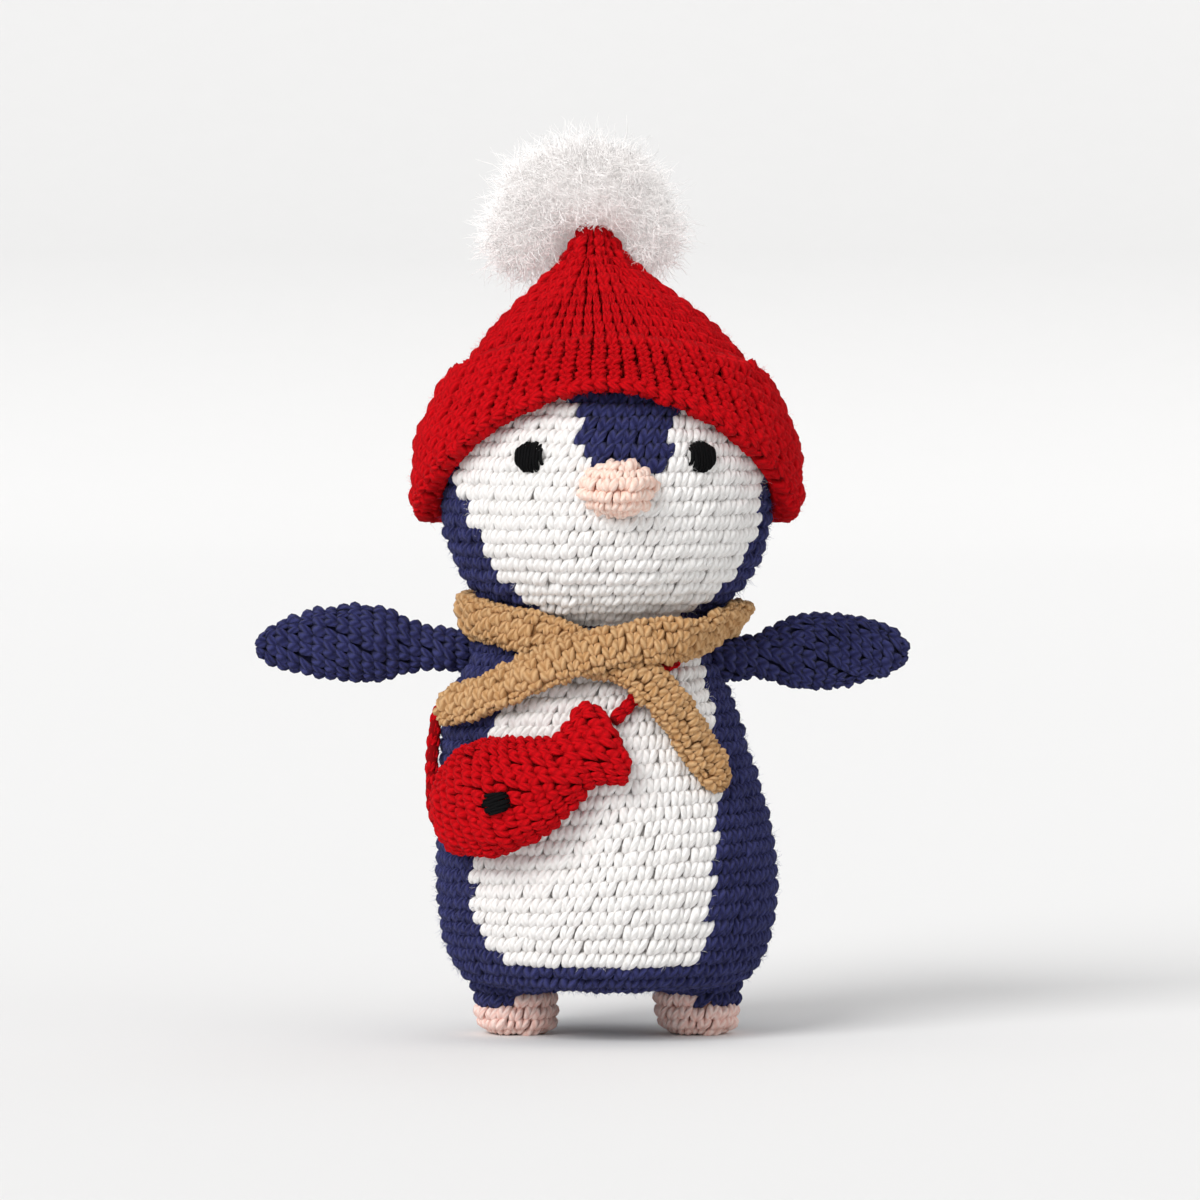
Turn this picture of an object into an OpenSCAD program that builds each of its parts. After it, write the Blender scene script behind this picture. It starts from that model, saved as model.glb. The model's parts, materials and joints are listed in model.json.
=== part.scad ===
// A crocheted penguin doll with a folded hat, a scarf and a fish bag.
// Every piece is yarn fabric worked in the round and filled with loose fibre.
// Z is up, the face looks along -Y, and the origin is on the floor midway between the feet.

/* [Torso] */
// Half the width of the torso at its fullest
torso_half_w = 54.6; // [45:0.2:66]
// Depth of the torso as a share of its width
torso_depth_share = 0.92; // [0.85:0.01:1]
// Height of the torso from its floor side to the neck
torso_h = 113.5; // [94:0.5:137]
// How far the shoulders lean to one side
shoulder_lean = 5; // [0:0.5:6]
// Thickness of the crocheted fabric
fabric_t = 3.2; // [2.2:0.1:4]

/* [Legs] */
// Distance from the middle to the centre of each leg
leg_x = 29; // [24:0.5:35]
// Radius of a foot
foot_r = 13; // [10:0.25:15.5]
// Height of the pink foot
foot_h = 12; // [9:0.5:14.5]
// Height of the navy leg between foot and torso
leg_h = 5; // [4:0.25:6]

/* [Head] */
// Radius of the head at its fullest
head_r = 53; // [48:0.25:60]
// Height of the head below its fullest place
head_low_h = 49; // [40:0.5:59]
// Height of the head above its fullest place
head_top_h = 47; // [39:0.5:57]
// Turn of the face to one side in degrees
face_turn = 5.5; // [0:0.5:10]
// Half the width of the beak
beak_half_w = 11.75; // [9.5:0.25:14.25]
// How far the beak stands out from the face
beak_out = 12; // [9:0.5:15]
// Radius of an embroidered eye
eye_r = 4.6; // [3.6:0.1:5.6]

/* [Wings] */
// Length of a wing from shoulder to tip
wing_l = 68; // [56:0.5:82]
// Half the height of a wing at its widest
wing_half_h = 12.8; // [10.5:0.1:15.4]
// Half the thickness of a wing
wing_half_t = 6.4; // [5:0.1:7.8]
// Angle by which the right wing is swept back
wing_sweep = 26; // [0:1:35]
// How much lower the right wing is sewn on than the left
right_wing_drop = 3; // [0:0.5:5]

/* [Hat] */
// Ease of the hat over the head
hat_ease = 0.9; // [0.7:0.05:1.4]
// Height of the hat's tip above the fullest place of the head
hat_h = 79; // [70:0.5:95]
// Thickness of the hat's ribbed fabric
hat_t = 3.8; // [3:0.1:4.6]
// Radius of the pompom
pompom_r = 29; // [24:0.25:35]

/* [Scarf] */
// Width of the scarf
scarf_w = 12; // [10:0.25:12.5]
// Thickness of the scarf
scarf_t = 3.8; // [3:0.1:4.6]

/* [Fish bag] */
// Half the height of the fish at its widest
fish_half_h = 18.5; // [15.5:0.25:22]
// Half the thickness of the fish
fish_half_t = 9; // [7.5:0.25:11]
// Diameter of the strap's cord
strap_d = 3.2; // [2.6:0.1:3.8]

/* [Fits] */
// Air between two pieces that move apart
move_gap = 0.4; // [0.3:0.05:0.8]
// Air between a filled cover and its filling
fill_gap = 0.15; // [0.1:0.05:0.4]
// Slack between the belly and the fish that lies on it
rest_gap = 0.9; // [0.7:0.1:1.5]

/* [Hidden] */

navy = "#2f3060";
white = "#dedcda";
pink = "#e2bca9";
peach = "#f2d1be";
red = "#c4081a";
tan_yarn = "#be8e5f";
fluff = "#f4ece9";
fibre = "#f0f0ea";
black = "#0c0c0c";

// ---- small vector helpers ----
function unit(v) = v / norm(v);
function lerp(a, b, t) = a + (b - a) * t;
function smooth(t) = let (c = min(1, max(0, t))) c * c * (3 - 2 * c);

// ---- lofts: each ring is a list of points, anticlockwise seen from the end it grows towards ----
// An oval ring round c, growing along t, with half axis a along u and half axis b across it
function oval(c, t, u, a, b, n) =
    let (v = cross(t, u))
    [for (k = [0 : n - 1]) c + u * a * cos(360 * k / n) + v * b * sin(360 * k / n)];

function bar(c, t, u, a, b) =
    let (v = cross(t, u))
    [c + u * a + v * b, c - u * a + v * b, c - u * a - v * b, c + u * a - v * b];

// A closed solid through rings with a flat cap at each end
module loft(rings) {
    n = len(rings[0]);
    last = len(rings) - 1;
    sides = [
        for (i = [0 : last - 1], j = [0 : n - 1])
            let (a = i * n + j, b = i * n + (j + 1) % n, c = b + n, d = a + n)
            for (f = [[a, d, c], [a, c, b]]) f
    ];
    low = [[for (j = [0 : n - 1]) j]];
    high = [[for (j = [n - 1 : -1 : 0]) last * n + j]];
    polyhedron(points = [for (r = rings) each r], faces = concat(sides, low, high));
}

// A wall between outer and inner rings that keeps the cells where keep(i, j) is true
// capped_low and capped_high close an end with a flat double cap in place of an open edge
module wall(outer, inner, keep, capped_low, capped_high) {
    n = len(outer[0]);
    last = len(outer) - 1;
    in0 = n * (last + 1);
    kept = function (i, j) i >= 0 && i < last && keep(i, (j + n) % n);
    cells = [
        for (i = [0 : last - 1], j = [0 : n - 1])
            if (kept(i, j))
                let (
                    a = i * n + j, b = i * n + (j + 1) % n, c = b + n, d = a + n,
                    side_l = kept(i, j - 1) ? [] : [d, a, a + in0, d + in0],
                    side_r = kept(i, j + 1) ? [] : [b, c, c + in0, b + in0],
                    low = kept(i - 1, j) || (capped_low && i == 0) ? [] : [a, b, b + in0, a + in0],
                    high = kept(i + 1, j) || (capped_high && i == last - 1) ? [] : [c, d, d + in0, c + in0],
                    quads = [[a, d, c, b], [a + in0, b + in0, c + in0, d + in0], side_l, side_r, low, high]
                )
                for (q = quads)
                    if (len(q) > 0)
                        for (f = [[q[0], q[1], q[2]], [q[0], q[2], q[3]]]) f
    ];
    up = [for (j = [0 : n - 1]) j];
    down = [for (j = [n - 1 : -1 : 0]) j];
    low_caps = capped_low ? [up, [for (k = down) k + in0]] : [];
    high_caps = capped_high ? [[for (k = down) k + last * n], [for (k = up) k + last * n + in0]] : [];
    points = concat([for (r = outer) each r], [for (r = inner) each r]);
    polyhedron(points = points, faces = concat(cells, low_caps, high_caps));
}

// A bag that is open at its first ring and closed at its last
module sock(outer, inner) wall(outer, inner, function (i, j) true, false, true);
// A hoop that is open at both ends
module hoop(outer, inner) wall(outer, inner, function (i, j) true, false, false);

// ---- torso ----
crotch_z = foot_h + leg_h;
neck_z = crotch_z + torso_h;
torso_mid_z = (crotch_z + neck_z) / 2;
// Share of the height, share of the full half width
torso_rows = [
    [0, 0.80], [0.03, 0.87], [0.08, 0.91], [0.14, 0.965], [0.24, 1], [0.36, 0.995], [0.5, 0.955],
    [0.66, 0.9], [0.78, 0.845], [0.88, 0.745], [0.94, 0.69], [0.975, 0.64], [1, 0.5]
];
torso_cols = 24;

function torso_share(t) = lookup(t, torso_rows);
function torso_x(t) = -shoulder_lean * smooth((t - 0.4) / 0.35);
// Rounds of crochet drift sideways as they climb, so the belly panel leans
function belly_slant(t) = -7 + 23 * t;
function torso_w(z) = torso_half_w * torso_share((z - crotch_z) / torso_h);
function torso_point(t, turn, inset, squeeze) =
    let (
        w = torso_half_w * torso_share(t) - inset,
        d = torso_half_w * torso_share(t) * torso_depth_share - inset,
        z = crotch_z + torso_h * t
    )
    [torso_x(t) + w * sin(turn), -d * cos(turn), torso_mid_z + (z - torso_mid_z) * squeeze];
function torso_rings(inset) = [
    for (row = torso_rows) [
        for (j = [0 : torso_cols - 1])
            torso_point(row[0], j * 360 / torso_cols + belly_slant(row[0]), inset, 1 - 2 * inset / torso_h)
    ]
];
// The white panel takes three columns on each side of the slanting middle line
function in_belly(i, j) = i >= 1 && i <= 10 && (j < 3 || j >= torso_cols - 3);

module torso_fabric() color(navy)
    wall(torso_rings(0), torso_rings(fabric_t), function (i, j) !in_belly(i, j), true, true);
module belly_panel() color(white)
    wall(torso_rings(0), torso_rings(fabric_t), function (i, j) in_belly(i, j), false, false);
module torso_stuffing() color(fibre) loft(torso_rings(fabric_t + fill_gap));

// ---- legs and feet ----
foot_flat_r = foot_r - 3.5;
leg_wall = 3;

module foot_shape(shrink) {
    r = foot_r - shrink;
    flat_r = foot_flat_r - shrink;
    bulge = foot_h * 0.55;
    polygon([
        [0, shrink], [flat_r, shrink], [flat_r + 2, shrink + 1], [r - 0.4, shrink + 3.4],
        [r, bulge], [r - 0.5, foot_h], [0, foot_h]
    ]);
}
module foot() color(pink) difference() {
    rotate_extrude($fn = 48) foot_shape(0);
    translate([0, 0, leg_wall]) cylinder(h = foot_h, r = foot_flat_r - leg_wall + 1.5, $fn = 48);
}
module leg() color(navy) translate([0, 0, foot_h]) difference() {
    cylinder(h = leg_h, r1 = foot_r - 0.5, r2 = foot_r + 2, $fn = 48);
    translate([0, 0, -1]) cylinder(h = leg_h + 2, r = foot_flat_r - leg_wall + 1.5, $fn = 48);
}
module leg_stuffing() color(fibre) translate([0, 0, leg_wall + fill_gap])
    cylinder(h = crotch_z - leg_wall - 2 * fill_gap, r = foot_flat_r - leg_wall + 1.5 - fill_gap, $fn = 48);

// ---- head ----
head_low_share = 0.96;
head_z = neck_z + move_gap + head_low_share * head_low_h;
head_rows = [-head_low_share, -0.9, -0.8, -0.64, -0.45, -0.22, 0.06, 0.33, 0.61, 0.8, 0.92, 0.98];
head_cols = 30;

function head_power(s) = s < 0 ? 2.6 : 2.05;
function head_share(s) = pow(max(0, 1 - pow(abs(s), head_power(s))), 1 / head_power(s));
function head_w(z) =
    let (s = (z - head_z) / (z < head_z ? head_low_h : head_top_h))
    head_r * head_share(min(1, max(-1, s)));
function head_point(s, turn, inset) =
    let (r = head_r * head_share(s) - inset, h = (s < 0 ? head_low_h : head_top_h) - inset)
    [r * sin(turn), -r * cos(turn), head_z + s * h];
function head_rings(inset) = [
    for (s = head_rows) [
        for (j = [0 : head_cols - 1]) head_point(s, face_turn + j * 360 / head_cols, inset)
    ]
];
// How many columns the white face reaches on each side, row by row, and the navy stripe on the brow
function face_reach(i) = i < 3 ? 4 : i < 5 ? 5 : 6;
function in_face(i, j) =
    let (k = j >= head_cols / 2 ? j - head_cols : j)
    i >= 0 && i < 8 && k >= -face_reach(i) && k < face_reach(i) && !(i >= 6 && (k == 0 || k == -1));

module head_fabric() color(navy)
    wall(head_rings(0), head_rings(fabric_t), function (i, j) i == 0 || !in_face(i, j), true, true);
module face_panel() color(white)
    wall(head_rings(0), head_rings(fabric_t), function (i, j) i > 0 && in_face(i, j), false, false);
module head_stuffing() color(fibre) loft(head_rings(fabric_t + fill_gap));

// The beak is a rounded pouch standing on the face
beak_z = head_z - 0.035 * head_low_h;
beak_turn = face_turn - 2;
beak_half_h = beak_half_w * 0.71;
beak_rows = [[0, 0.93], [0.2, 1], [0.45, 0.95], [0.7, 0.78], [0.88, 0.5], [0.97, 0.25]];
function beak_rings(inset) =
    let (
        way = [sin(beak_turn), -cos(beak_turn), 0],
        across = [cos(beak_turn), sin(beak_turn), 0],
        base = way * (head_w(beak_z) + move_gap) + [0, 0, beak_z]
    )
    [
        for (row = beak_rows)
            oval(base + way * (beak_out - inset) * row[0], way, across,
                beak_half_w * row[1] - inset * row[1], beak_half_h * row[1] - inset * row[1], 16)
    ];
beak_wall = 2.4;
module beak() color(peach) sock(beak_rings(0), beak_rings(beak_wall));
module beak_stuffing() color(fibre) loft(beak_rings(beak_wall + fill_gap));

// An eye is a thin round of satin stitches lying on the face
eye_t = 1.4;
eye_z = head_z + 8.2;
module eye(turn) {
    lean = atan(0.3 * (eye_z - head_z) / head_w(eye_z));
    color(black) translate([head_w(eye_z) * sin(turn), -head_w(eye_z) * cos(turn), eye_z])
        rotate([0, 0, turn]) rotate([90 - lean, 0, 0])
            translate([0, 0, move_gap]) cylinder(h = eye_t, r = eye_r, $fn = 32);
}
eye_turn_left = -27;
eye_turn_right = 34;

// ---- wings ----
function shoulder_z(side) = neck_z - 7.5 - (side > 0 ? right_wing_drop : 0);
function shoulder(side) =
    let (z = shoulder_z(side), reach = torso_w(z) + move_gap + wing_root_h)
    [torso_x((z - crotch_z) / torso_h) + side * reach, 0, z];
wing_root_h = 5.8;
wing_root_t = 4;
wing_cols = 16;
// Share of the length, share of the half height, share of the half thickness
wing_rows = [
    [0.13, 0.5, 0.66], [0.22, 0.66, 0.78], [0.32, 0.87, 0.93], [0.42, 1, 1], [0.55, 0.95, 0.98],
    [0.7, 0.84, 0.88], [0.84, 0.68, 0.7], [0.94, 0.46, 0.48], [0.99, 0.2, 0.22]
];
// The root is a half round about the shoulder joint, so the wing can swing beside the torso
root_rows = [[-0.96, 0.28], [-0.7, 0.71], [-0.3, 0.95], [0, 1]];

function wing_rings(side, sweep, inset, grow) =
    let (
        pivot = shoulder(side),
        way = [side * cos(sweep), sin(sweep), 0],
        up = [0, 0, 1],
        root = [
            for (row = root_rows)
                oval(pivot + way * row[0] * (wing_root_h - inset), way, up,
                    wing_root_h * row[1] - inset * row[1], wing_root_t * row[1] - inset * row[1], wing_cols)
        ],
        blade = [
            for (row = wing_rows)
                let (s = row[0] * (wing_l - wing_root_h))
                oval(
                    pivot + way * (s - inset * smooth((row[0] - 0.8) / 0.19)) + up * 2.5 * sin(150 * row[0]),
                    way, up, max(wing_half_h * row[1] - inset, 0.6), max(wing_half_t * row[2] - inset, 0.4),
                    wing_cols)
        ]
    )
    grow ? blade : concat(root, blade);
wing_wall = 2.2;
module wing(side, sweep) color(navy)
    sock(wing_rings(side, sweep, 0, false), wing_rings(side, sweep, wing_wall, false));
module wing_stuffing(side, sweep) color(fibre) loft(wing_rings(side, sweep, wing_wall + fill_gap, true));

// ---- hat ----
// Height above the head's fullest place, clear radius inside the hat, both as shares
hat_rows = [
    [0, 1], [0.15, 0.985], [0.3, 0.895], [0.44, 0.79], [0.55, 0.68], [0.65, 0.535], [0.74, 0.38],
    [0.84, 0.2], [0.9, 0.1], [0.95, 0.05]
];
hat_cols = 24;
hat_steps = [0, 0.1, 0.2, 0.3, 0.4, 0.5, 0.6, 0.7, 0.8, 0.9, 1];
hat_in_top = 0.95;

// The drift to one side starts above the head, and the flats of the facets keep the clear radius
function hat_in(z) = (head_r + hat_ease) * lookup((z - head_z) / hat_h, hat_rows) / cos(180 / hat_cols);
function hat_x(z) = -4 * smooth(((z - head_z) / hat_h - 0.45) / 0.55);
// The rim is high over the brow and low at the sides and back
function front_share(turn) = (cos(turn) + sqrt(cos(turn) * cos(turn) + 0.03)) / 2;
function rim_z(turn) = head_z - 12.5 + 43 * pow(front_share(turn), 1.15);
function brim_top_z(turn) = head_z + 32.5 + 12 * cos(turn);
function hat_point(z, turn, out) =
    let (r = hat_in(z) + out) [hat_x(z) + r * sin(turn), -r * cos(turn), z];
function hat_rings(out, top_z) = [
    for (s = hat_steps) [
        for (j = [0 : hat_cols - 1])
            let (turn = j * 360 / hat_cols) hat_point(lerp(rim_z(turn), top_z, s), turn, out)
    ]
];
crown_top_z = head_z + hat_h * hat_in_top;
module hat_crown() color(red) sock(hat_rings(hat_t, crown_top_z + hat_t), hat_rings(0, crown_top_z));

brim_steps = [0, 0.25, 0.5, 0.75, 1];
function brim_rings(out) = [
    for (s = brim_steps) [
        for (j = [0 : hat_cols - 1])
            let (turn = j * 360 / hat_cols) hat_point(lerp(rim_z(turn), brim_top_z(turn), s), turn, out)
    ]
];
brim_air = 0.9;
module hat_brim() color(red) hoop(brim_rings(2 * hat_t + brim_air), brim_rings(hat_t + brim_air));

// The pompom hangs round the tip like a skirt, hollow below so that it can flop
tip = [-3.8, 0, crown_top_z + hat_t];
pompom_lift = 9;
pompom_back = 8;
tie_r = 3;
tie_air = 1.2;
module pompom() color(fluff) difference() {
    translate(tip + [-2, pompom_back, pompom_lift]) sphere(r = pompom_r, $fn = 64);
    translate(tip + [0, 0, pompom_lift - 2 * pompom_r])
        cylinder(h = 2 * pompom_r, r1 = 2 * pompom_r * tan(58), r2 = 0, $fn = 64);
}
module pompom_tie() color(fluff) translate(tip + [0, 0, tie_air])
    cylinder(h = pompom_lift - tie_air - tie_r / tan(58) - fill_gap, r = tie_r, $fn = 32);

// ---- what lies on the torso: a point at a turn and height, a distance off the surface ----
function skin_point(turn, z, off) =
    let (t = (z - crotch_z) / torso_h, w = torso_half_w * torso_share(t))
    [torso_x(t) + (w + off) * sin(turn), -(w * torso_depth_share + off) * cos(turn), z];
// The way out of the surface there
function skin_out(turn, z) =
    let (
        along = skin_point(turn + 1, z, 0) - skin_point(turn - 1, z, 0),
        up = skin_point(turn, z + 2, 0) - skin_point(turn, z - 2, 0)
    )
    unit(cross(along, up));

// ---- scarf ----
// Turn, height and lift off the body of the middle of each half of the scarf
wrap_z = neck_z + 5;
knot_z = neck_z - 7;
// Room below the tail that crosses the strap
strap_room = strap_d + 2 * move_gap + 0.3;
stack = scarf_t + move_gap;
over_route = [
    [180, wrap_z, 0], [155, wrap_z, 0], [130, wrap_z, 0], [105, wrap_z, 0], [85, wrap_z, 0],
    [65, wrap_z - 1.5, 0.5], [48, wrap_z - 4, strap_room], [33, wrap_z - 7, stack + strap_room],
    [18, wrap_z - 9.5, stack + strap_room], [4, knot_z - 0.5, stack + strap_room],
    [-9, knot_z - 4, stack + strap_room], [-21, knot_z - 7.5, stack]
];
over_tail_route = [
    [-22, knot_z - 7.8, stack], [-34, knot_z - 11, 2.5], [-47, knot_z - 14, 1], [-60, knot_z - 16.5, 1],
    [-72, knot_z - 18.5, 1]
];
under_route = [
    [-180, wrap_z, 0], [-155, wrap_z, 0], [-130, wrap_z, 0], [-105, wrap_z, 0], [-85, wrap_z, 0],
    [-65, wrap_z - 1, 0.5], [-48, wrap_z - 3, 1], [-33, wrap_z - 5.5, 1], [-19, wrap_z - 8.5, 1],
    [-5, knot_z, 1], [10, knot_z - 4, strap_room], [19, knot_z - 8, strap_room]
];
under_tail_route = [
    [20.2, knot_z - 9, strap_room], [29, knot_z - 16, strap_room], [36, knot_z - 25, 1.5],
    [42, knot_z - 34, 1], [46, knot_z - 41, 1]
];
// Over the groove of the neck the scarf spans from the shoulders to the head
groove_half = 5;
function rest_point(turn, z) =
    let (
        share = min(1, max(0, (z - neck_z + groove_half) / (2 * groove_half))),
        low = skin_point(turn, min(z, neck_z - groove_half), 0),
        r = head_w(max(z, neck_z + groove_half))
    )
    [lerp(low.x, r * sin(turn), share), lerp(low.y, -r * cos(turn), share), z];
// A stop's way out, and its middle raised so that the flat strip clears what bulges below it
function scarf_out(stop) =
    let (
        along = rest_point(stop[0] + 2, stop[1]) - rest_point(stop[0] - 2, stop[1]),
        up = rest_point(stop[0], stop[1] + scarf_w / 2) - rest_point(stop[0], stop[1] - scarf_w / 2)
    )
    unit(cross(along, up));
function scarf_point(stop, off) =
    let (
        out = scarf_out(stop),
        low = rest_point(stop[0], stop[1] - scarf_w / 2),
        high = rest_point(stop[0], stop[1] + scarf_w / 2),
        middle = (low + high) / 2,
        shares = [-0.3, -0.15, 0, 0.15, 0.3],
        rises = [for (k = shares) (rest_point(stop[0], stop[1] + k * scarf_w) - middle) * out],
        bulge = max(rises)
    )
    middle + out * (max(0, bulge) + stop[2] + move_gap + off);
// Halfway stops keep the strip off the round neck
function fine_route(route) = [
    for (i = [0 : len(route) - 2]) each [route[i], (route[i] + route[i + 1]) / 2], route[len(route) - 1]
];
function scarf_rings(stops) = let (route = fine_route(stops)) [
    for (i = [0 : len(route) - 1])
        let (
            here = scarf_point(route[i], scarf_t / 2),
            before = scarf_point(route[max(0, i - 1)], scarf_t / 2),
            after = scarf_point(route[min(len(route) - 1, i + 1)], scarf_t / 2),
            way = unit(after - before),
            out = scarf_out(route[i]),
            across = unit(cross(out, way))
        )
        bar(here, way, across, scarf_w / 2, scarf_t / 2)
];
module scarf_wrap() color(tan_yarn) {
    loft(scarf_rings(over_route));
    loft(scarf_rings(under_route));
}
module scarf_tail_over() color(tan_yarn) loft(scarf_rings(over_tail_route));
module scarf_tail_under() color(tan_yarn) loft(scarf_rings(under_tail_route));

// ---- fish bag ----
// Turn, height as a share of the torso, share of the half height, share of the half thickness
fish_rows = [
    [8, 0.685, 0.66, 0.34], [3, 0.675, 0.68, 0.4], [-3, 0.66, 0.6, 0.46], [-9, 0.635, 0.57, 0.56],
    [-15, 0.61, 0.7, 0.74], [-23, 0.575, 0.88, 0.92], [-32, 0.555, 1, 1], [-41, 0.54, 0.96, 0.96],
    [-50, 0.52, 0.76, 0.78], [-57, 0.505, 0.5, 0.52], [-61, 0.5, 0.26, 0.28]
];
fish_cols = 14;
function fish_stop(i) = let (row = fish_rows[i]) [row[0], crotch_z + torso_h * row[1]];
function fish_mid(i) =
    let (stop = fish_stop(i)) skin_point(stop[0], stop[1], rest_gap + fish_half_t * fish_rows[i][3]);
function fish_rings(inset, from, to) = [
    for (i = [from : to])
        let (
            row = fish_rows[i],
            stop = fish_stop(i),
            way = unit(fish_mid(min(to, i + 1)) - fish_mid(max(from, i - 1))),
            out = skin_out(stop[0], stop[1]),
            up = unit(cross(out, way))
        )
        oval(fish_mid(i) - way * inset * smooth((i - to + 2) / 2), way, up,
            max(fish_half_h * row[2] - inset, 0.8), max(fish_half_t * row[3] - inset, 0.4), fish_cols)
];
fish_wall = 2.2;
fish_last = len(fish_rows) - 1;
module fish_fabric() color(red)
    sock(fish_rings(0, 0, fish_last), fish_rings(fish_wall, 0, fish_last));
module fish_stuffing() color(fibre) loft(fish_rings(fish_wall + fill_gap, 4, fish_last));

fish_eye_r = 3.6;
module fish_eye() {
    turn = -28.5;
    z = crotch_z + 0.535 * torso_h;
    out = skin_out(turn, z);
    spot = skin_point(turn, z, rest_gap + 2 * fish_half_t + 0.3);
    color(black) translate(spot) rotate([0, 0, atan2(out.x, -out.y)]) rotate([78, 0, 0])
        cylinder(h = eye_t, r = fish_eye_r, $fn = 24);
}

// ---- strap: a crocheted cord over one shoulder, across the back and down the other side ----
// Turn and distance below the neck of each stop
strap_stops = [
    [8, 29], [17.5, 22], [30.5, 14.5], [43, 9.5], [59, 6], [77, 4.8], [103, 4.8], [122, 6],
    [137, 7.5], [158, 10], [179, 12.5], [197, 15.5], [215, 18.5], [233, 21], [249, 23], [265, 25]
];
strap_points = [
    for (stop = strap_stops)
        let (z = neck_z - stop[1])
        skin_point(stop[0], z, 0) + skin_out(stop[0], z) * (strap_d / 2 + move_gap)
];
drop_points = [[-54.5, -3, 102.5], [-55.5, -8, 94], [-56, -11, 85], [-56, -14, 76], [-54, -18, 69]];
function spline(points, i, t) =
    let (
        n = len(points) - 1,
        p0 = points[max(0, i - 1)], p1 = points[i], p2 = points[min(n, i + 1)], p3 = points[min(n, i + 2)]
    )
    0.5 * (2 * p1 + (p2 - p0) * t + (2 * p0 - 5 * p1 + 4 * p2 - p3) * t * t
        + (3 * p1 - p0 - 3 * p2 + p3) * t * t * t);
function cord_line(points) = [
    for (i = [0 : len(points) - 2], t = [0, 0.5]) spline(points, i, t), points[len(points) - 1]
];
function cord_rings(points, d) =
    let (line = cord_line(points), n = len(line) - 1)
    [
        for (i = [0 : n])
            let (
                way = unit(line[min(n, i + 1)] - line[max(0, i - 1)]),
                from_axis = [line[i].x, line[i].y, 0],
                out = unit(from_axis - way * (way * from_axis))
            )
            oval(line[i], way, out, d / 2, d / 2, 8)
    ];
module strap() color(red) loft(cord_rings(strap_points, strap_d));
module strap_drop() color(red) loft(cord_rings(drop_points, strap_d));

torso_fabric();
belly_panel();
torso_stuffing();
translate([-leg_x, 0, 0]) leg();  // leg_left
translate([leg_x, 0, 0]) leg();  // leg_right
translate([-leg_x, 0, 0]) foot();  // foot_left
translate([leg_x, 0, 0]) foot();  // foot_right
translate([-leg_x, 0, 0]) leg_stuffing();  // leg_stuffing_left
translate([leg_x, 0, 0]) leg_stuffing();  // leg_stuffing_right
head_fabric();
face_panel();
head_stuffing();
beak();
beak_stuffing();
eye(eye_turn_left);  // eye_left
eye(eye_turn_right);  // eye_right
wing(-1, 0);  // wing_left
wing_stuffing(-1, 0);  // wing_left_stuffing
wing(1, wing_sweep);  // wing_right
wing_stuffing(1, wing_sweep);  // wing_right_stuffing
hat_crown();
hat_brim();
pompom();
pompom_tie();
scarf_wrap();
scarf_tail_over();
scarf_tail_under();
fish_fabric();
fish_stuffing();
fish_eye();
strap();
strap_drop();
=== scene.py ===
# %% [markdown]
# # A crocheted penguin doll, built stitch by stitch
#
# The real doll is yarn, worked round after round with a hook and filled with loose fibre.
# This lesson models one stitch with Blender's own tools, then lays thousands of copies of it over
# round surfaces, as the hook does. The sizes come from the CAD model, which is loaded first.

import json
import math

import bpy
import numpy as np
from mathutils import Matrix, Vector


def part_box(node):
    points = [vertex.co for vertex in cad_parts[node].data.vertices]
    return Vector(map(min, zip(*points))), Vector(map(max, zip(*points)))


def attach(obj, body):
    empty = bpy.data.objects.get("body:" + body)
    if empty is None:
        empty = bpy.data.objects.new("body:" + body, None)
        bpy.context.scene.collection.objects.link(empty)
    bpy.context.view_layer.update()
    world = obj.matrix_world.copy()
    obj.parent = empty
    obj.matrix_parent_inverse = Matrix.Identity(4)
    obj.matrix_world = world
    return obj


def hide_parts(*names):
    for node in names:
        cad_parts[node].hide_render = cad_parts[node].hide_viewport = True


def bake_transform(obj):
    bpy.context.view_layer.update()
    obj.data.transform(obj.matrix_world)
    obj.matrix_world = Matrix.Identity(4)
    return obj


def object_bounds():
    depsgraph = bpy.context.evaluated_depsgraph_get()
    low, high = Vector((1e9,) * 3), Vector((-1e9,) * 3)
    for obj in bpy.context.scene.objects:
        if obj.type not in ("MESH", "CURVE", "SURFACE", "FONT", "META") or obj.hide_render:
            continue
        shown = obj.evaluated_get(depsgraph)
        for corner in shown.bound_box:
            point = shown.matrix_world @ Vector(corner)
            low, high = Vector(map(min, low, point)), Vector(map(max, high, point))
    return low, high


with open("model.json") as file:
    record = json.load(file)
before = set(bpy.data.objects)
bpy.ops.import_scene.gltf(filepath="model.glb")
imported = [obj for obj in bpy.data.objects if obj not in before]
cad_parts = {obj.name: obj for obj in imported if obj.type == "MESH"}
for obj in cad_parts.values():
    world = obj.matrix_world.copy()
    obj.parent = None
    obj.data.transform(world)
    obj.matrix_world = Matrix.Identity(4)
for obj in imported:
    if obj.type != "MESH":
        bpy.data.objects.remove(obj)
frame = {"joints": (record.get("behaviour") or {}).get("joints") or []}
cad_low, cad_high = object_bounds()
MM = 0.001
print("CAD box in mm:", [round(v / MM, 1) for v in (*cad_low, *cad_high)])


def box_mm(node):
    """The lowest and highest corner of a CAD node, in millimetres."""
    low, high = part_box(node)
    return np.array(low) / MM, np.array(high) / MM


# %% [markdown]
# ## The camera and the room
#
# A long lens far away keeps the doll's proportions true. The room is one pale sheet that curves up
# on every side, so no horizon shows. The light is even all over the room: a broad soft key from the
# upper left in front, a weak fill from the right, a little from behind and a pale world all round.

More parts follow.
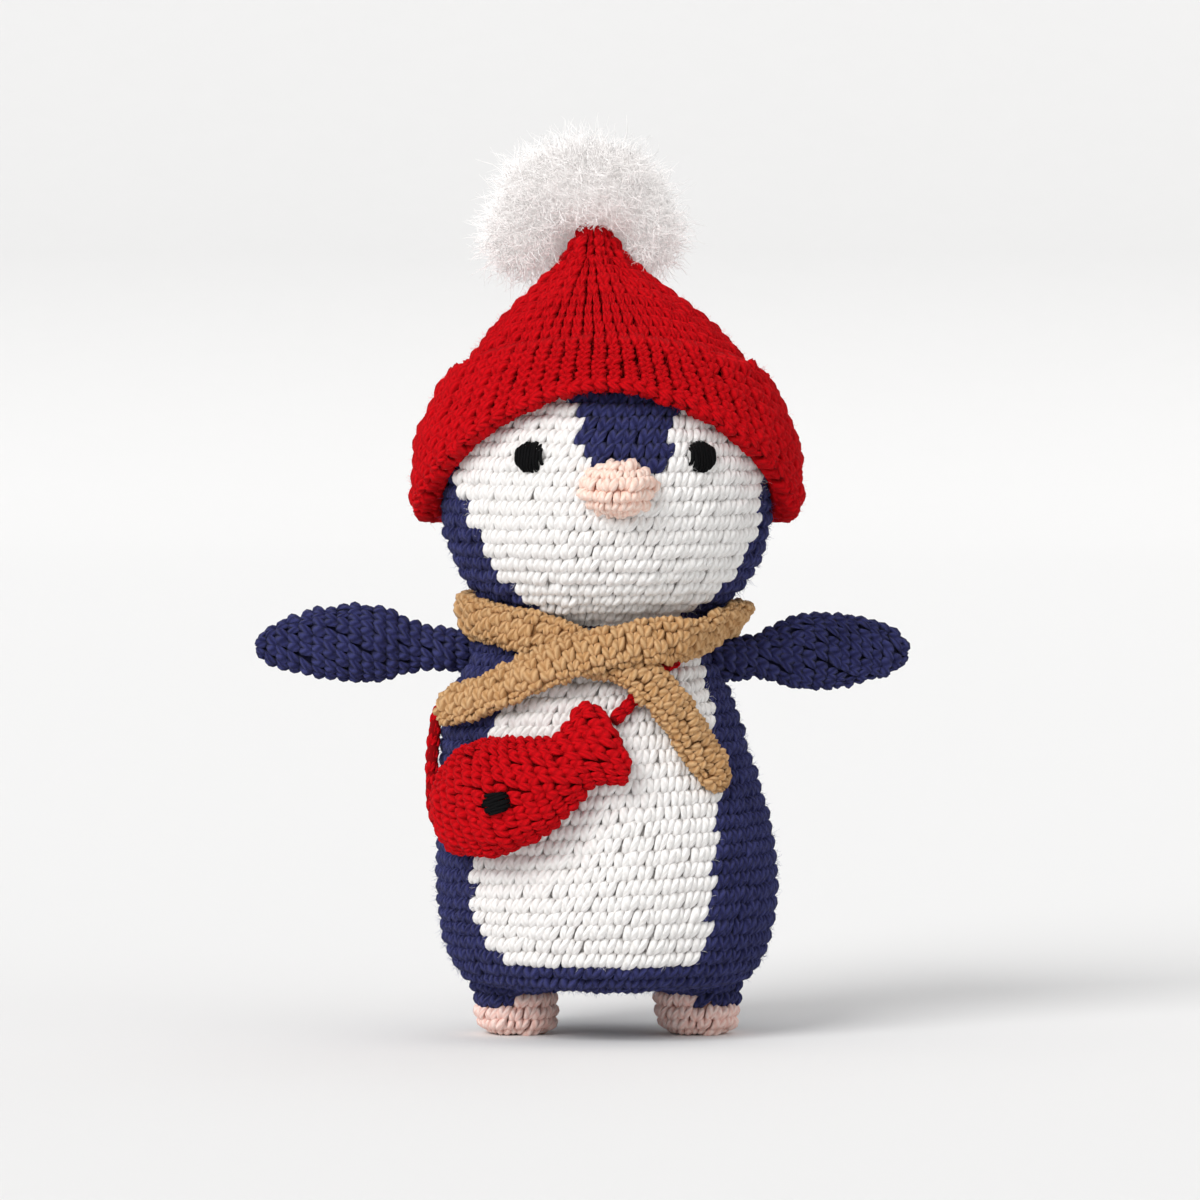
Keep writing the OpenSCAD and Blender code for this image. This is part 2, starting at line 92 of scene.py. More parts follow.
# %% Camera
centre = (cad_low + cad_high) / 2
VIEW_DISTANCE = 3.0
VIEW_TILT = math.radians(2.5)
AIM = (-0.0022, 0.0, 0.1392)
LENS, SENSOR = 281, 36
camera_data = bpy.data.cameras.new("camera")
camera_data.lens = LENS
camera_data.sensor_width = SENSOR
camera = bpy.data.objects.new("camera", camera_data)
bpy.context.scene.collection.objects.link(camera)
camera_back, camera_up = VIEW_DISTANCE * math.cos(VIEW_TILT), VIEW_DISTANCE * math.sin(VIEW_TILT)
camera.location = (AIM[0], AIM[1] - camera_back, AIM[2] + camera_up)
camera.rotation_euler = (math.pi / 2 - VIEW_TILT, 0, 0)
bpy.context.scene.camera = camera


# %% Floor, backdrop and lamps
def deselect():
    """Leaves edit mode and selects nothing."""
    if bpy.context.object and bpy.context.object.mode != "OBJECT":
        bpy.ops.object.mode_set(mode="OBJECT")
    bpy.ops.object.select_all(action="DESELECT")


def edit_select(chosen, kind="FACE"):
    """In edit mode, selects the vertices, edges or faces for which chosen(point) is true."""
    mesh = bpy.context.object.data
    bpy.ops.mesh.select_mode(type=kind)
    bpy.ops.mesh.select_all(action="DESELECT")
    bpy.ops.object.mode_set(mode="OBJECT")
    if kind == "VERT":
        for vertex in mesh.vertices:
            vertex.select = bool(chosen(vertex.co))
    elif kind == "EDGE":
        for edge in mesh.edges:
            edge.select = all(chosen(mesh.vertices[i].co) for i in edge.vertices)
    else:
        for face in mesh.polygons:
            face.select = bool(chosen(face.center))
    bpy.ops.object.mode_set(mode="EDIT")


def apply_place(thing):
    """Moves an object's place into its mesh."""
    deselect()
    thing.select_set(True)
    bpy.context.view_layer.objects.active = thing
    bpy.ops.object.transform_apply(location=True, rotation=True, scale=True)


ROOM, WALL, WALL_CURVE = 12.0, 2.6, 2.2
WORLD_LIGHT = 0.62
deselect()
bpy.ops.mesh.primitive_plane_add(size=ROOM, location=(0, 0, WALL))
backdrop = bpy.context.object
backdrop.name = "backdrop"
apply_place(backdrop)
bpy.ops.object.mode_set(mode="EDIT")
bpy.ops.mesh.select_all(action="SELECT")
bpy.ops.mesh.extrude_region_move(TRANSFORM_OT_translate={"value": (0, 0, -WALL)})
edit_select(lambda p: p.z > WALL - 0.01)
bpy.ops.mesh.delete(type="ONLY_FACE")
bpy.ops.mesh.select_all(action="SELECT")
bpy.ops.mesh.normals_make_consistent(inside=True)
bpy.ops.object.mode_set(mode="OBJECT")
rounding = backdrop.modifiers.new("rounding", "BEVEL")
rounding.width, rounding.segments = WALL_CURVE, 16
bpy.ops.object.modifier_apply(modifier="rounding")
bpy.ops.object.shade_smooth()

world = bpy.data.worlds.new("soft_room")
bpy.context.scene.world = world
world.use_nodes = True
world.node_tree.nodes["Background"].inputs["Color"].default_value = (1.0, 1.0, 1.0, 1)
world.node_tree.nodes["Background"].inputs["Strength"].default_value = WORLD_LIGHT
bpy.context.scene.view_settings.view_transform = "Standard"


def lamp(name, place, strength, soft, colour):
    """A far lamp that shines at the doll from a place. soft is its width in degrees."""
    light = bpy.data.lights.new(name, "SUN")
    light.energy, light.angle, light.color = strength, math.radians(soft), colour
    thing = bpy.data.objects.new(name, light)
    bpy.context.scene.collection.objects.link(thing)
    thing.location = place
    aim = centre - thing.location
    thing.rotation_euler = aim.to_track_quat("-Z", "Y").to_euler()


lamp("key", (-1.0, -1.4, 1.3), 2.5, 34, (1.0, 0.99, 0.98))
lamp("fill", (1.4, -1.2, 0.7), 0.3, 60, (0.97, 0.98, 1.0))
lamp("back", (0.5, 1.1, 1.2), 0.25, 50, (1.0, 1.0, 1.0))


# %% [markdown]
# ## Shader maths written as Python
#
# A material is a graph of nodes. Wiring it by hand takes many lines, so one small class wraps a
# socket: adding or multiplying two wrapped sockets makes the Math node between them.

# %% The wire class
class Wire:
    """An output socket that can be used in ordinary arithmetic."""

    def __init__(self, tree, socket):
        self.tree, self.socket = tree, socket

    def node(self, kind, settings=None, sockets=None, output=0):
        """Any other node: its type, its settings, and the values or links of its inputs."""
        made = self.tree.nodes.new(kind)
        for name, value in (settings or {}).items():
            if name == "stops":
                for i, (place, colour) in enumerate(value):
                    stop = made.color_ramp.elements[i] if i < 2 else made.color_ramp.elements.new(place)
                    stop.position, stop.color = place, (*colour, 1)
            else:
                setattr(made, name, value)
        for name, value in (sockets or {}).items():
            if isinstance(value, Wire):
                self.tree.links.new(value.socket, made.inputs[name])
            else:
                made.inputs[name].default_value = value
        return Wire(self.tree, made.outputs[output])

    def maths(self, operation, *values):
        return self.node("ShaderNodeMath", {"operation": operation}, dict(enumerate(values)))

    def __add__(self, other):
        return self.maths("ADD", self, other)

    __radd__ = __add__

    def __sub__(self, other):
        return self.maths("SUBTRACT", self, other)

    def __rsub__(self, other):
        return self.maths("SUBTRACT", other, self)

    def __mul__(self, other):
        return self.maths("MULTIPLY", self, other)

    __rmul__ = __mul__

    def mix(self, low, high):
        """Colour low where this wire is 0 and high where it is 1."""
        return self.node("ShaderNodeMix", {"data_type": "RGBA"}, {0: self, 6: low, 7: high}, output=2)


def linear(red, green, blue):
    """A colour as the eye names it, from 0 to 255, as the light values that Blender mixes."""
    shares = [c / 255 for c in (red, green, blue)]
    return tuple(c / 12.92 if c <= 0.04045 else ((c + 0.055) / 1.055) ** 2.4 for c in shares)


def new_material(name):
    """An empty material: its tree's first wire, and its shader node."""
    material = bpy.data.materials.new(name)
    material.use_nodes = True
    tree = material.node_tree
    shader = tree.nodes["Principled BSDF"]
    return material, Wire(tree, None), shader


# %% [markdown]
# ## Yarn
#
# Yarn is several plies twisted together. The twist shows as slanted ridges that run round each leg
# of a stitch, so the ridges follow the stitch's own UV map: U goes round the leg and V along it.
# Two attributes carry what the hook leaves behind: "lift" is how far a point stands out of the
# fabric, for the painted shade in the gaps and the painted highlight on the raised plies, and
# "strand" is a number of each stitch's own, for uneven dye.

# %% Yarn material
def yarn(name, body, deep, pale_dye_and_painted_highlight, sheen=0.03, twist=3.0, depth=0.5):
    """Twisted yarn: its body colour, the painted shade in its gaps, and the pale of its raised plies, partly
    a painted highlight and partly uneven dye.
    """
    body, deep, pale_dye_and_painted_highlight = ((*linear(*tone), 1) for tone in (body, deep, pale_dye_and_painted_highlight))
    material, w, shader = new_material(name)
    place = w.node("ShaderNodeTexCoord", output=3)
    uv = w.node("ShaderNodeUVMap", {"uv_map": "yarn"})
    split = w.node("ShaderNodeSeparateXYZ", None, {0: uv})
    around, along = split, Wire(w.tree, split.socket.node.outputs[1])
    lift = w.node("ShaderNodeAttribute", {"attribute_name": "lift"}, output=2)
    strand = w.node("ShaderNodeAttribute", {"attribute_name": "strand"}, output=2)
    waver = w.node("ShaderNodeTexNoise", None, {"Vector": place, "Scale": 900.0, "Detail": 2.0})
    fibres = w.node("ShaderNodeTexNoise", None,
                    {"Vector": place, "Scale": 3600.0, "Detail": 3.0, "Roughness": 0.7})
    patches = w.node("ShaderNodeTexNoise", None, {"Vector": place, "Scale": 70.0, "Detail": 2.0})
    turns = (around * 3.0 + along * twist + waver * 0.25) * (2 * math.pi)
    plies = w.maths("SINE", turns) * 0.5 + 0.5
    out = w.node("ShaderNodeMapRange", None, {"Value": lift, "From Min": -0.9, "From Max": 0.5})
    # Painted highlight: the ply ridges turn paler the further they stand out of the fabric
    painted_ply_highlight = w.maths("MULTIPLY", plies * (fibres * 0.9 + 0.1), out)
    uneven = strand * 0.22 + (patches - 0.5) * 0.4
    dye_and_highlight_share = w.node("ShaderNodeClamp", None, {"Value": painted_ply_highlight * 0.75 + uneven})
    surface = dye_and_highlight_share.mix(body, pale_dye_and_painted_highlight)
    # Painted shade: the deeper a point lies in the fabric, the more it takes the dark colour of the gaps
    gaps = w.node("ShaderNodeClamp", None, {"Value": out * (0.6 + plies * 0.5 + fibres * 0.25)})
    colour = gaps.mix(deep, surface)
    ridge = plies * 0.8 + fibres * 0.9
    bump = w.node("ShaderNodeBump", None, {"Strength": depth, "Distance": 0.0009, "Height": ridge})
    w.tree.links.new(colour.socket, shader.inputs["Base Color"])
    w.tree.links.new(bump.socket, shader.inputs["Normal"])
    shader.inputs["Roughness"].default_value = 0.86
    shader.inputs["Specular IOR Level"].default_value = 0.12
    shader.inputs["Sheen Weight"].default_value = sheen
    shader.inputs["Sheen Roughness"].default_value = 0.45
    return material


# Second colour: painted shade in the gaps. Third: painted highlight on raised plies, with uneven dye
NAVY = yarn("navy_yarn", (38, 40, 90), (9, 9, 34), (78, 82, 146), sheen=0.06, depth=1.0)
WHITE = yarn("white_yarn", (246, 244, 242), (212, 207, 203), (253, 252, 251))
PINK = yarn("pink_yarn", (250, 208, 196), (230, 172, 158), (255, 236, 228))
PEACH = yarn("peach_yarn", (254, 220, 204), (240, 184, 164), (255, 240, 230))
RED = yarn("red_yarn", (214, 2, 16), (118, 0, 6), (236, 8, 24), sheen=0.0, depth=0.9)
TAN = yarn("tan_yarn", (210, 160, 106), (150, 102, 58), (240, 202, 154), twist=2.4, depth=0.8)


# %% Backdrop paper
def paper():
    """Pale paper, a little darker up the wall, where more light falls on it."""
    material, w, shader = new_material("paper")
    place = w.node("ShaderNodeTexCoord", output=3)
    grain = w.node("ShaderNodeTexNoise", None, {"Vector": place, "Scale": 40.0, "Detail": 4.0})
    height = Wire(w.tree, w.node("ShaderNodeSeparateXYZ", None, {0: place}).socket.node.outputs[2])
    wall = w.node("ShaderNodeMapRange", None, {"Value": height, "From Min": 0.0, "From Max": 0.22})
    tone = wall.mix((*linear(232, 232, 232), 1), (*linear(210, 210, 210), 1))
    colour = (grain * 0.06).mix(tone, (*linear(236, 236, 236), 1))
    w.tree.links.new(colour.socket, shader.inputs["Base Color"])
    shader.inputs["Roughness"].default_value = 0.9
    return material


backdrop.data.materials.append(paper())


# %% [markdown]
# ## One stitch
#
# A single crochet stitch seen from the outside is a short V: two plump legs of yarn that rise from
# one hole and part. One leg is a six-sided tube. It is cut across by subdividing its long edges,
# and each ring of points is then moved and scaled to where the yarn goes: in under the round below,
# out over the surface, and in again under the round above. The mirror image makes the other leg.

# %% Model the stitch
STITCH_WIDE, STITCH_TALL = 4.8, 4.64
LEG_SIDES = 6
# Across, up, out, half width and half thickness of each ring of the leg, in millimetres
LEG_RINGS = [
    (-0.78, -0.75, -1.00, 1.12, 0.90),
    (-1.00, 0.75, 0.15, 1.38, 1.10),
    (-1.20, 2.30, 0.55, 1.48, 1.22),
    (-1.34, 3.85, 0.30, 1.40, 1.12),
    (-1.34, 5.25, -0.95, 1.10, 0.90),
]
# The ribbed stitch keeps its ends up, so that a column of them makes one ridge
RIB_WIDE = 5.8
RIB_RINGS = [
    (-0.72, -0.90, -0.30, 1.30, 1.15),
    (-1.00, 0.90, 0.50, 1.52, 1.35),
    (-1.12, 2.32, 0.80, 1.58, 1.45),
    (-0.98, 3.80, 0.50, 1.52, 1.35),
    (-0.70, 5.50, -0.30, 1.30, 1.15),
]


def model_stitch(rings):
    deselect()
    last = len(rings) - 1
    bpy.ops.mesh.primitive_cylinder_add(
        vertices=LEG_SIDES, radius=1.0, depth=last, end_fill_type="NGON", location=(0, 0, last / 2))
    leg = bpy.context.object
    leg.name = "stitch"
    apply_place(leg)
    bpy.ops.object.mode_set(mode="EDIT")
    bpy.ops.mesh.select_mode(type="EDGE")
    bpy.ops.mesh.select_all(action="DESELECT")
    bpy.ops.object.mode_set(mode="OBJECT")
    for edge in leg.data.edges:
        low, high = (leg.data.vertices[i].co for i in edge.vertices)
        edge.select = abs(low.z - high.z) > 0.5
    bpy.ops.object.mode_set(mode="EDIT")
    bpy.ops.mesh.subdivide(number_cuts=last - 1)
    # Each ring is first carried far off to a place of its own, so that no two rings are mixed up
    for i, (across, up, out, half_wide, half_thick) in enumerate(rings):
        edit_select(lambda p: abs(p.z - i) < 0.1 and abs(p.x) < 1.01, "VERT")
        bpy.ops.transform.resize(value=(half_wide, half_thick, 1), center_override=(0, 0, i))
        bpy.ops.transform.translate(value=(across + 100 * (i + 1), -out, up - i + 100 * (i + 1)))
    for i in range(last + 1):
        edit_select(lambda p: abs(p.x - 100 * (i + 1)) < 20, "VERT")
        bpy.ops.transform.translate(value=(-100 * (i + 1), 0, -100 * (i + 1)))
    bpy.ops.mesh.select_all(action="SELECT")
    bpy.ops.mesh.duplicate()
    bpy.ops.transform.resize(value=(-1, 1, 1), center_override=(0, 0, 0))
    bpy.ops.mesh.select_all(action="SELECT")
    bpy.ops.mesh.normals_make_consistent(inside=False)
    bpy.ops.object.mode_set(mode="OBJECT")
    return leg


class Pattern:
    """A modelled piece of yarn as arrays, ready to be copied many times."""

    def __init__(self, thing, wide, tall):
        mesh = thing.data
        points = np.array([v.co for v in mesh.vertices])
        self.across, self.out, self.up = points[:, 0] / wide, -points[:, 1], points[:, 2] / tall
        self.loops = np.array([loop.vertex_index for loop in mesh.loops])
        self.starts = np.array([face.loop_start for face in mesh.polygons])
        self.uv = np.array([entry.uv for entry in mesh.uv_layers[0].data])
        bpy.data.objects.remove(thing)


STITCH = Pattern(model_stitch(LEG_RINGS), STITCH_WIDE, STITCH_TALL)
RIB_STITCH = Pattern(model_stitch(RIB_RINGS), RIB_WIDE, STITCH_TALL)
print("one stitch:", len(STITCH.across), "points,", len(STITCH.starts), "faces")


# %% [markdown]
# ## Surfaces to work the rounds on
#
# Crochet in the round makes a skin whose rounds grow and shrink. Here a skin is a list of stations,
# each with a centre, the way to its side and the way to its front. A turn of 0 is the front and a
# quarter turn is the side, and the second measure runs along the skin in millimetres.

# %% The skin class
def smooth(t):
    t = np.clip(t, 0, 1)
    return t * t * (3 - 2 * t)


def rounded(rows, passes=2):
    """Cuts the corners of a line of stations, so that a few of them give a smooth shape."""
    rows = np.array(rows, float)
    for _ in range(passes):
        low, high = rows[:-1], rows[1:]
        cut = np.stack([0.75 * low + 0.25 * high, 0.25 * low + 0.75 * high], 1).reshape(-1, rows.shape[1])
        rows = np.vstack([rows[:1], cut, rows[-1:]])
    return rows


class Skin:
    """A surface through rows of stations, each with its centre, its side and its front."""

    def __init__(self, stations, square=1.0, tilt=None, passes=2):
        self.rows = rounded(stations, passes)
        self.square, self.tilt = square, tilt
        edges = [self.rows[:, :3] + self.rows[:, k:k + 3] for k in (3, 6)]
        steps = [np.linalg.norm(np.diff(edge, axis=0), axis=1) for edge in edges]
        self.marks = np.concatenate([[0], np.cumsum((steps[0] + steps[1]) / 2)])
        self.length = self.marks[-1]

    def point(self, turn, s):
        """Points at a turn and a place along the skin."""
        if self.tilt is not None:
            s = s + self.tilt(s) * np.sin(turn)
        row = [np.interp(s, self.marks, self.rows[:, k]) for k in range(9)]
        side, front = np.sin(turn), np.cos(turn)
        side = np.sign(side) * np.abs(side) ** self.square
        front = np.sign(front) * np.abs(front) ** self.square
        return np.stack([row[k] + row[3 + k] * side + row[6 + k] * front for k in range(3)], -1)

    def lifted(self, turn, s, out):
        """Points at a turn and a place along the skin, standing out by a distance."""
        across = self.point(turn + 0.02, s) - self.point(turn - 0.02, s)
        after, before = np.minimum(s + 0.4, self.length), np.maximum(s - 0.4, 0)
        along = self.point(turn, after) - self.point(turn, before)
        normal = np.cross(across, along)
        normal /= np.maximum(np.linalg.norm(normal, axis=-1, keepdims=True), 1e-9)
        return self.point(turn, s) + normal * np.asarray(out)[..., None]

    def girth(self, s):
        ring = self.point(np.linspace(0, 2 * math.pi, 61), np.full(61, float(s)))
        return np.linalg.norm(np.diff(ring, axis=0), axis=1).sum()


def station(spot, way, front, half_side, half_front):
    """A station that faces along way, with its front towards front."""
    way, front = np.array(way, float), np.array(front, float)
    way /= np.linalg.norm(way)
    front = front - way * (way @ front)
    front /= np.linalg.norm(front)
    return [*spot, *(np.cross(way, front) * half_side), *(front * half_front)]


# %% Lay stitches over a skin
def build_mesh(name, points, loops, starts, uv=None, numbers=None):
    """A mesh object from arrays, in millimetres."""
    mesh = bpy.data.meshes.new(name)
    mesh.vertices.add(len(points))
    mesh.vertices.foreach_set("co", (np.asarray(points) * MM).astype(np.float32).ravel())
    mesh.loops.add(len(loops))
    mesh.loops.foreach_set("vertex_index", np.asarray(loops, np.int32))
    mesh.polygons.add(len(starts))
    mesh.polygons.foreach_set("loop_start", np.asarray(starts, np.int32))
    mesh.update(calc_edges=True)
    if uv is not None:
        layer = mesh.uv_layers.new(name="yarn")
        layer.data.foreach_set("uv", np.asarray(uv, np.float32).ravel())
    for key, values in (numbers or {}).items():
        attribute = mesh.attributes.new(key, "FLOAT", "POINT")
        attribute.data.foreach_set("value", np.asarray(values, np.float32))
    mesh.polygons.foreach_set("use_smooth", np.ones(len(starts), bool))
    mesh.validate()
    thing = bpy.data.objects.new(name, mesh)
    bpy.context.scene.collection.objects.link(thing)
    return thing


def copies(name, pattern, turn, s, skin, out):
    """One mesh that holds a copy of the pattern for each row of turn, s and out."""
    many, size = turn.shape
    points = skin.lifted(turn.ravel(), s.ravel(), out.ravel())
    loops = (pattern.loops[None, :] + size * np.arange(many)[:, None]).ravel()
    starts = (pattern.starts[None, :] + len(pattern.loops) * np.arange(many)[:, None]).ravel()
    uv = np.tile(pattern.uv, (many, 1))
    lift = np.tile(pattern.out, (many, 1)).ravel()
    strand = np.repeat(np.random.default_rng(many).random(many), size)
    return build_mesh(name, points, loops, starts, uv, {"lift": lift, "strand": strand})


def plan_rounds(skin, first=0.0, last=None, tall=STITCH_TALL, wide=STITCH_WIDE, count=None):
    """Where each round starts and ends along the skin, and how many stitches it takes."""
    last = skin.length if last is None else last
    edges = np.linspace(first, last, max(1, round((last - first) / tall)) + 1)
    plan = []
    for a, b in zip(edges[:-1], edges[1:]):
        plan.append((a, b, count or max(5, round(skin.girth((a + b) / 2) / wide))))
    return plan


def crochet(name, skin, plan, material, keep=None, drift=0.5, plump=1.0, seed=1, sideways=False, raise_by=0.0,
            loose=1.5, slant=0.3, pattern=None):
    """Works the rounds of a plan in one yarn. keep chooses the stitches by their turn and place."""
    rng = np.random.default_rng(seed)
    rows = []
    for i, (a, b, count) in enumerate(plan):
        turn = (np.arange(count) + 0.5 + drift * i) * (2 * math.pi / count)
        wobble = rng.normal(0, 1, (count, 4))
        rows.append(np.column_stack([turn, np.full(count, a), np.full(count, b - a),
                                     np.full(count, 2 * math.pi / count), wobble]))
    rows = np.vstack(rows)
    turn_mid = (rows[:, 0] + math.pi) % (2 * math.pi) - math.pi
    if keep is not None:
        rows = rows[keep(turn_mid, rows[:, 1] + rows[:, 2] / 2)]
    turn, s, tall, wide = (rows[:, k, None] for k in range(4))
    slip, hop, swell, lean = (rows[:, k, None] * loose for k in range(4, 8))
    pattern = pattern or STITCH
    across, up = pattern.across[None, :], pattern.up[None, :]
    across = across + slant * (up - 0.5)
    if sideways:
        across, up = up - 0.5, 0.5 - across
    across = across * (1 + 0.04 * swell) + 0.035 * slip + 0.05 * lean * (up - 0.5)
    up = up + 0.03 * hop
    out = pattern.out[None, :] * plump * (1 + 0.07 * swell) + 0.12 * lean + raise_by
    made = copies(name, pattern, turn + across * wide, s + up * tall, skin, out)
    made.data.materials.append(material)
    print(name, len(rows), "stitches")
    return made


def sunk_in_painted_shade(many):
    """The two numbers of points that lie under the stitches, which colour them in the yarn's painted gap
    shade.
    """
    return {"lift": np.full(many, -0.6), "strand": np.full(many, 0.5)}


def lining(name, skin, out, material, around=48, along=40, first=0.0, last=None, second=None, where=None):
    """The closed, filled shape just under the stitches. It takes a second colour where the stitches do."""
    last = skin.length if last is None else last
    turns = np.arange(around) * 2 * math.pi / around
    marks = np.linspace(first, last, along)
    turn, s = np.meshgrid(turns, marks)
    points = skin.lifted(turn.ravel(), s.ravel(), np.full(turn.size, out))
    low, high = len(points), len(points) + 1
    points = np.vstack([points, points[:around].mean(0), points[-around:].mean(0)])
    k, j = np.meshgrid(np.arange(around), np.arange(along - 1))
    a, b = (j * around + k).ravel(), (j * around + (k + 1) % around).ravel()
    quads = np.column_stack([a, b, b + around, a + around])
    ring = np.arange(around)
    bottom = np.column_stack([np.full(around, low), (ring + 1) % around, ring])
    rim = (along - 1) * around
    top = np.column_stack([np.full(around, high), ring + rim, (ring + 1) % around + rim])
    loops = np.concatenate([quads.ravel(), bottom.ravel(), top.ravel()])
    starts = np.concatenate([np.arange(len(quads)) * 4, len(quads) * 4 + np.arange(2 * around) * 3])
    # The lining takes its yarn's painted gap shade all over: a dark sheet under the stitches
    made = build_mesh(name, points, loops, starts, np.zeros((len(loops), 2)), sunk_in_painted_shade(len(points)))
    made.data.materials.append(material)
    if second is not None:
        made.data.materials.append(second)
        cell_turn = (turns[k.ravel()] + math.pi / around + math.pi) % (2 * math.pi) - math.pi
        cell_s = (marks[j.ravel()] + marks[j.ravel() + 1]) / 2
        index = np.zeros(len(starts), np.int32)
        index[:len(quads)] = where(cell_turn, cell_s)
        made.data.polygons.foreach_set("material_index", index)
    return made


# %% [markdown]
# ## The torso
#
# The torso is one stuffed bag, worked upwards from the crotch. Its sides are nearly straight, its
# shoulders slope to a narrow neck and lean a little to one side. The belly is worked in white in the
# same rounds, so its edge is a staircase of whole stitches that drifts sideways as the rounds climb.

# %% Torso skin
torso_low, torso_high = box_mm("torso_fabric")
crotch_z, neck_z = torso_low[2], torso_high[2]
torso_h = neck_z - crotch_z
torso_half_w = 54.6
DEPTH_SHARE = 0.92
# Share of the height, share of the half width
TORSO_SHARES = [
    (0.03, 0.87), (0.08, 0.93), (0.14, 0.965), (0.24, 1.0), (0.36, 0.995), (0.5, 0.955),
    (0.66, 0.9), (0.78, 0.845), (0.88, 0.745), (0.94, 0.69), (0.975, 0.64), (1.0, 0.5),
]
LEAN = 5.0


def torso_lean(t):
    return -LEAN * smooth((t - 0.4) / 0.35)


def torso_station(t, half):
    return [torso_lean(t), 0, crotch_z + torso_h * t, half, 0, 0, 0, -half * DEPTH_SHARE, 0]


YARN_INSET = 1.2
torso_rows = [torso_station(t, half) for t, half in ((0.0, 0.05), (0.0, 22), (0.004, 36), (0.012, 43))]
torso_rows += [torso_station(t, torso_half_w * share - YARN_INSET) for t, share in TORSO_SHARES]
torso_rows += [torso_station(t, half) for t, half in ((1.01, 15), (1.012, 0.05))]


def torso_tilt(s):
    """The rounds slant up to one side in the middle of the torso."""
    return 2.4 * smooth((s - 55) / 20) * smooth((150 - s) / 25)


torso_skin = Skin(torso_rows, tilt=torso_tilt)
torso_z = torso_skin.rows[:, 2]


def torso_s(z):
    return np.interp(z, torso_z, torso_skin.marks)


def on_torso(turn, z, out):
    """A point on the torso at a turn in radians and a height, standing out by a distance."""
    return torso_skin.lifted(np.asarray(turn, float), torso_s(np.asarray(z, float)), np.asarray(out, float))


def degrees(values):
    return np.radians(values)


def in_belly(turn, s):
    """Whether a stitch of the torso is white. Each edge is a line of turns at heights."""
    z = np.interp(s, torso_skin.marks, torso_z)
    left = np.interp(z, [21, 27, 36, 54, 75, 100, 122], degrees([-36, -42, -50, -53, -49, -41, -32]))
    right = np.interp(z, [21, 30, 54, 75, 100, 122], degrees([33, 37, 38, 45, 55, 66]))
    return (turn > left) & (turn < right) & (z > 25.0)


def around_belly(turn, s):
    return ~in_belly(turn, s)


def belongs(piece, body, slot_name, *nodes):
    """Ties a piece to the body it moves with, and hides the CAD nodes it stands for. slot_name, its yarn, is
    not used.
    """
    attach(piece, body)
    if nodes:
        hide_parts(*nodes)


torso_plan = plan_rounds(torso_skin, first=4.0, last=torso_skin.length - 6)
torso_navy = crochet("torso_navy", torso_skin, torso_plan, NAVY, keep=around_belly, seed=11)
torso_white = crochet("torso_white", torso_skin, torso_plan, WHITE, keep=in_belly, seed=12)
torso_filling = lining("torso_filling", torso_skin, -1.1, NAVY, around=96, along=60,
                       second=WHITE, where=in_belly)
belongs(torso_navy, "torso", "navy_yarn", "torso_fabric")
belongs(torso_white, "torso", "white_yarn", "belly_panel")
belongs(torso_filling, "torso", "navy_yarn", "torso_stuffing")


# %% [markdown]
# ## Legs and feet
#
# Each foot is a small cup worked from the sole outwards in pink, and the same rounds go on in navy
# to make the short leg. The change of colour slants, because each round climbs as it goes.

# %% Legs
def leg_skin(x, side):
    def ring(z, half, shift=0.0):
        return [x - side * shift, 0, z, half, 0, 0, 0, -half, 0]

    return Skin([ring(1.3, 0.05), ring(1.3, 6), ring(1.6, 9.3), ring(4.2, 11.8), ring(8, 12.2),
                 ring(12, 12.2), ring(16, 13.4), ring(21, 15.0, 0.6), ring(27, 14.0, 2), ring(30, 6, 2)])


def make_leg(name, side):
    low, high = box_mm("foot_" + name)
    x = (low[0] + high[0]) / 2
    skin = leg_skin(x, side)
    plan = plan_rounds(skin, first=2.0, last=skin.length - 6, tall=3.9, wide=4.3)

    def is_pink(turn, s):
        spot = skin.point(turn, s)
        return spot[:, 2] < 11.6 - 0.24 * side * (spot[:, 0] - x)

    def is_navy(turn, s):
        return ~is_pink(turn, s)

    foot = crochet("foot_" + name + "_yarn", skin, plan, PINK, keep=is_pink, seed=21, plump=0.95, loose=2.4)
    leg = crochet("leg_" + name + "_yarn", skin, plan, NAVY, keep=is_navy, seed=22, loose=2.2)
    core = lining("leg_" + name + "_filling", skin, -1.1, PINK, around=24, along=16)
    belongs(foot, "torso", "pink_yarn", "foot_" + name)
    belongs(leg, "torso", "navy_yarn", "leg_" + name)
    belongs(core, "torso", "pink_yarn", "leg_stuffing_" + name)


make_leg("left", -1)
make_leg("right", 1)


# %% [markdown]
# ## The head
#
# The head is a wide ball, flatter below than a sphere. The white face and the navy stripe on the
# brow are worked in the same rounds, so the joins between the colours are stepped too.

# %% Head
head_low, head_high = box_mm("head_fabric")
head_r = (head_high[0] - head_low[0]) / 2
LOW_H, TOP_H, LOW_SHARE, TOP_SHARE = 49.0, 47.0, 0.96, 0.98
head_scale = (head_high[2] - head_low[2]) / (LOW_SHARE * LOW_H + TOP_SHARE * TOP_H)
head_z = head_low[2] + LOW_SHARE * LOW_H * head_scale


def head_share(s):
    power = 2.6 if s < 0 else 2.05
    return max(0.0, 1 - abs(s) ** power) ** (1 / power)


def head_half(z):
    """The head's half width at a height."""
    height = LOW_H if z < head_z else TOP_H
    return head_r * head_share(float(np.clip((z - head_z) / height, -1, 1)))


def head_station(s):
    half = max(0.05, head_r * head_share(s) - YARN_INSET)
    return [0, 0, head_z + s * (LOW_H if s < 0 else TOP_H), half, 0, 0, 0, -half, 0]


head_skin = Skin([head_station(-0.955)[:3] + [0.05, 0, 0, 0, -0.05, 0]]
                 + [head_station(math.sin(a)) for a in np.linspace(-1.27, 1.5, 26)], passes=1)
head_marks_z = head_skin.rows[:, 2]


def head_s(z):
    return np.interp(z, head_marks_z, head_skin.marks)


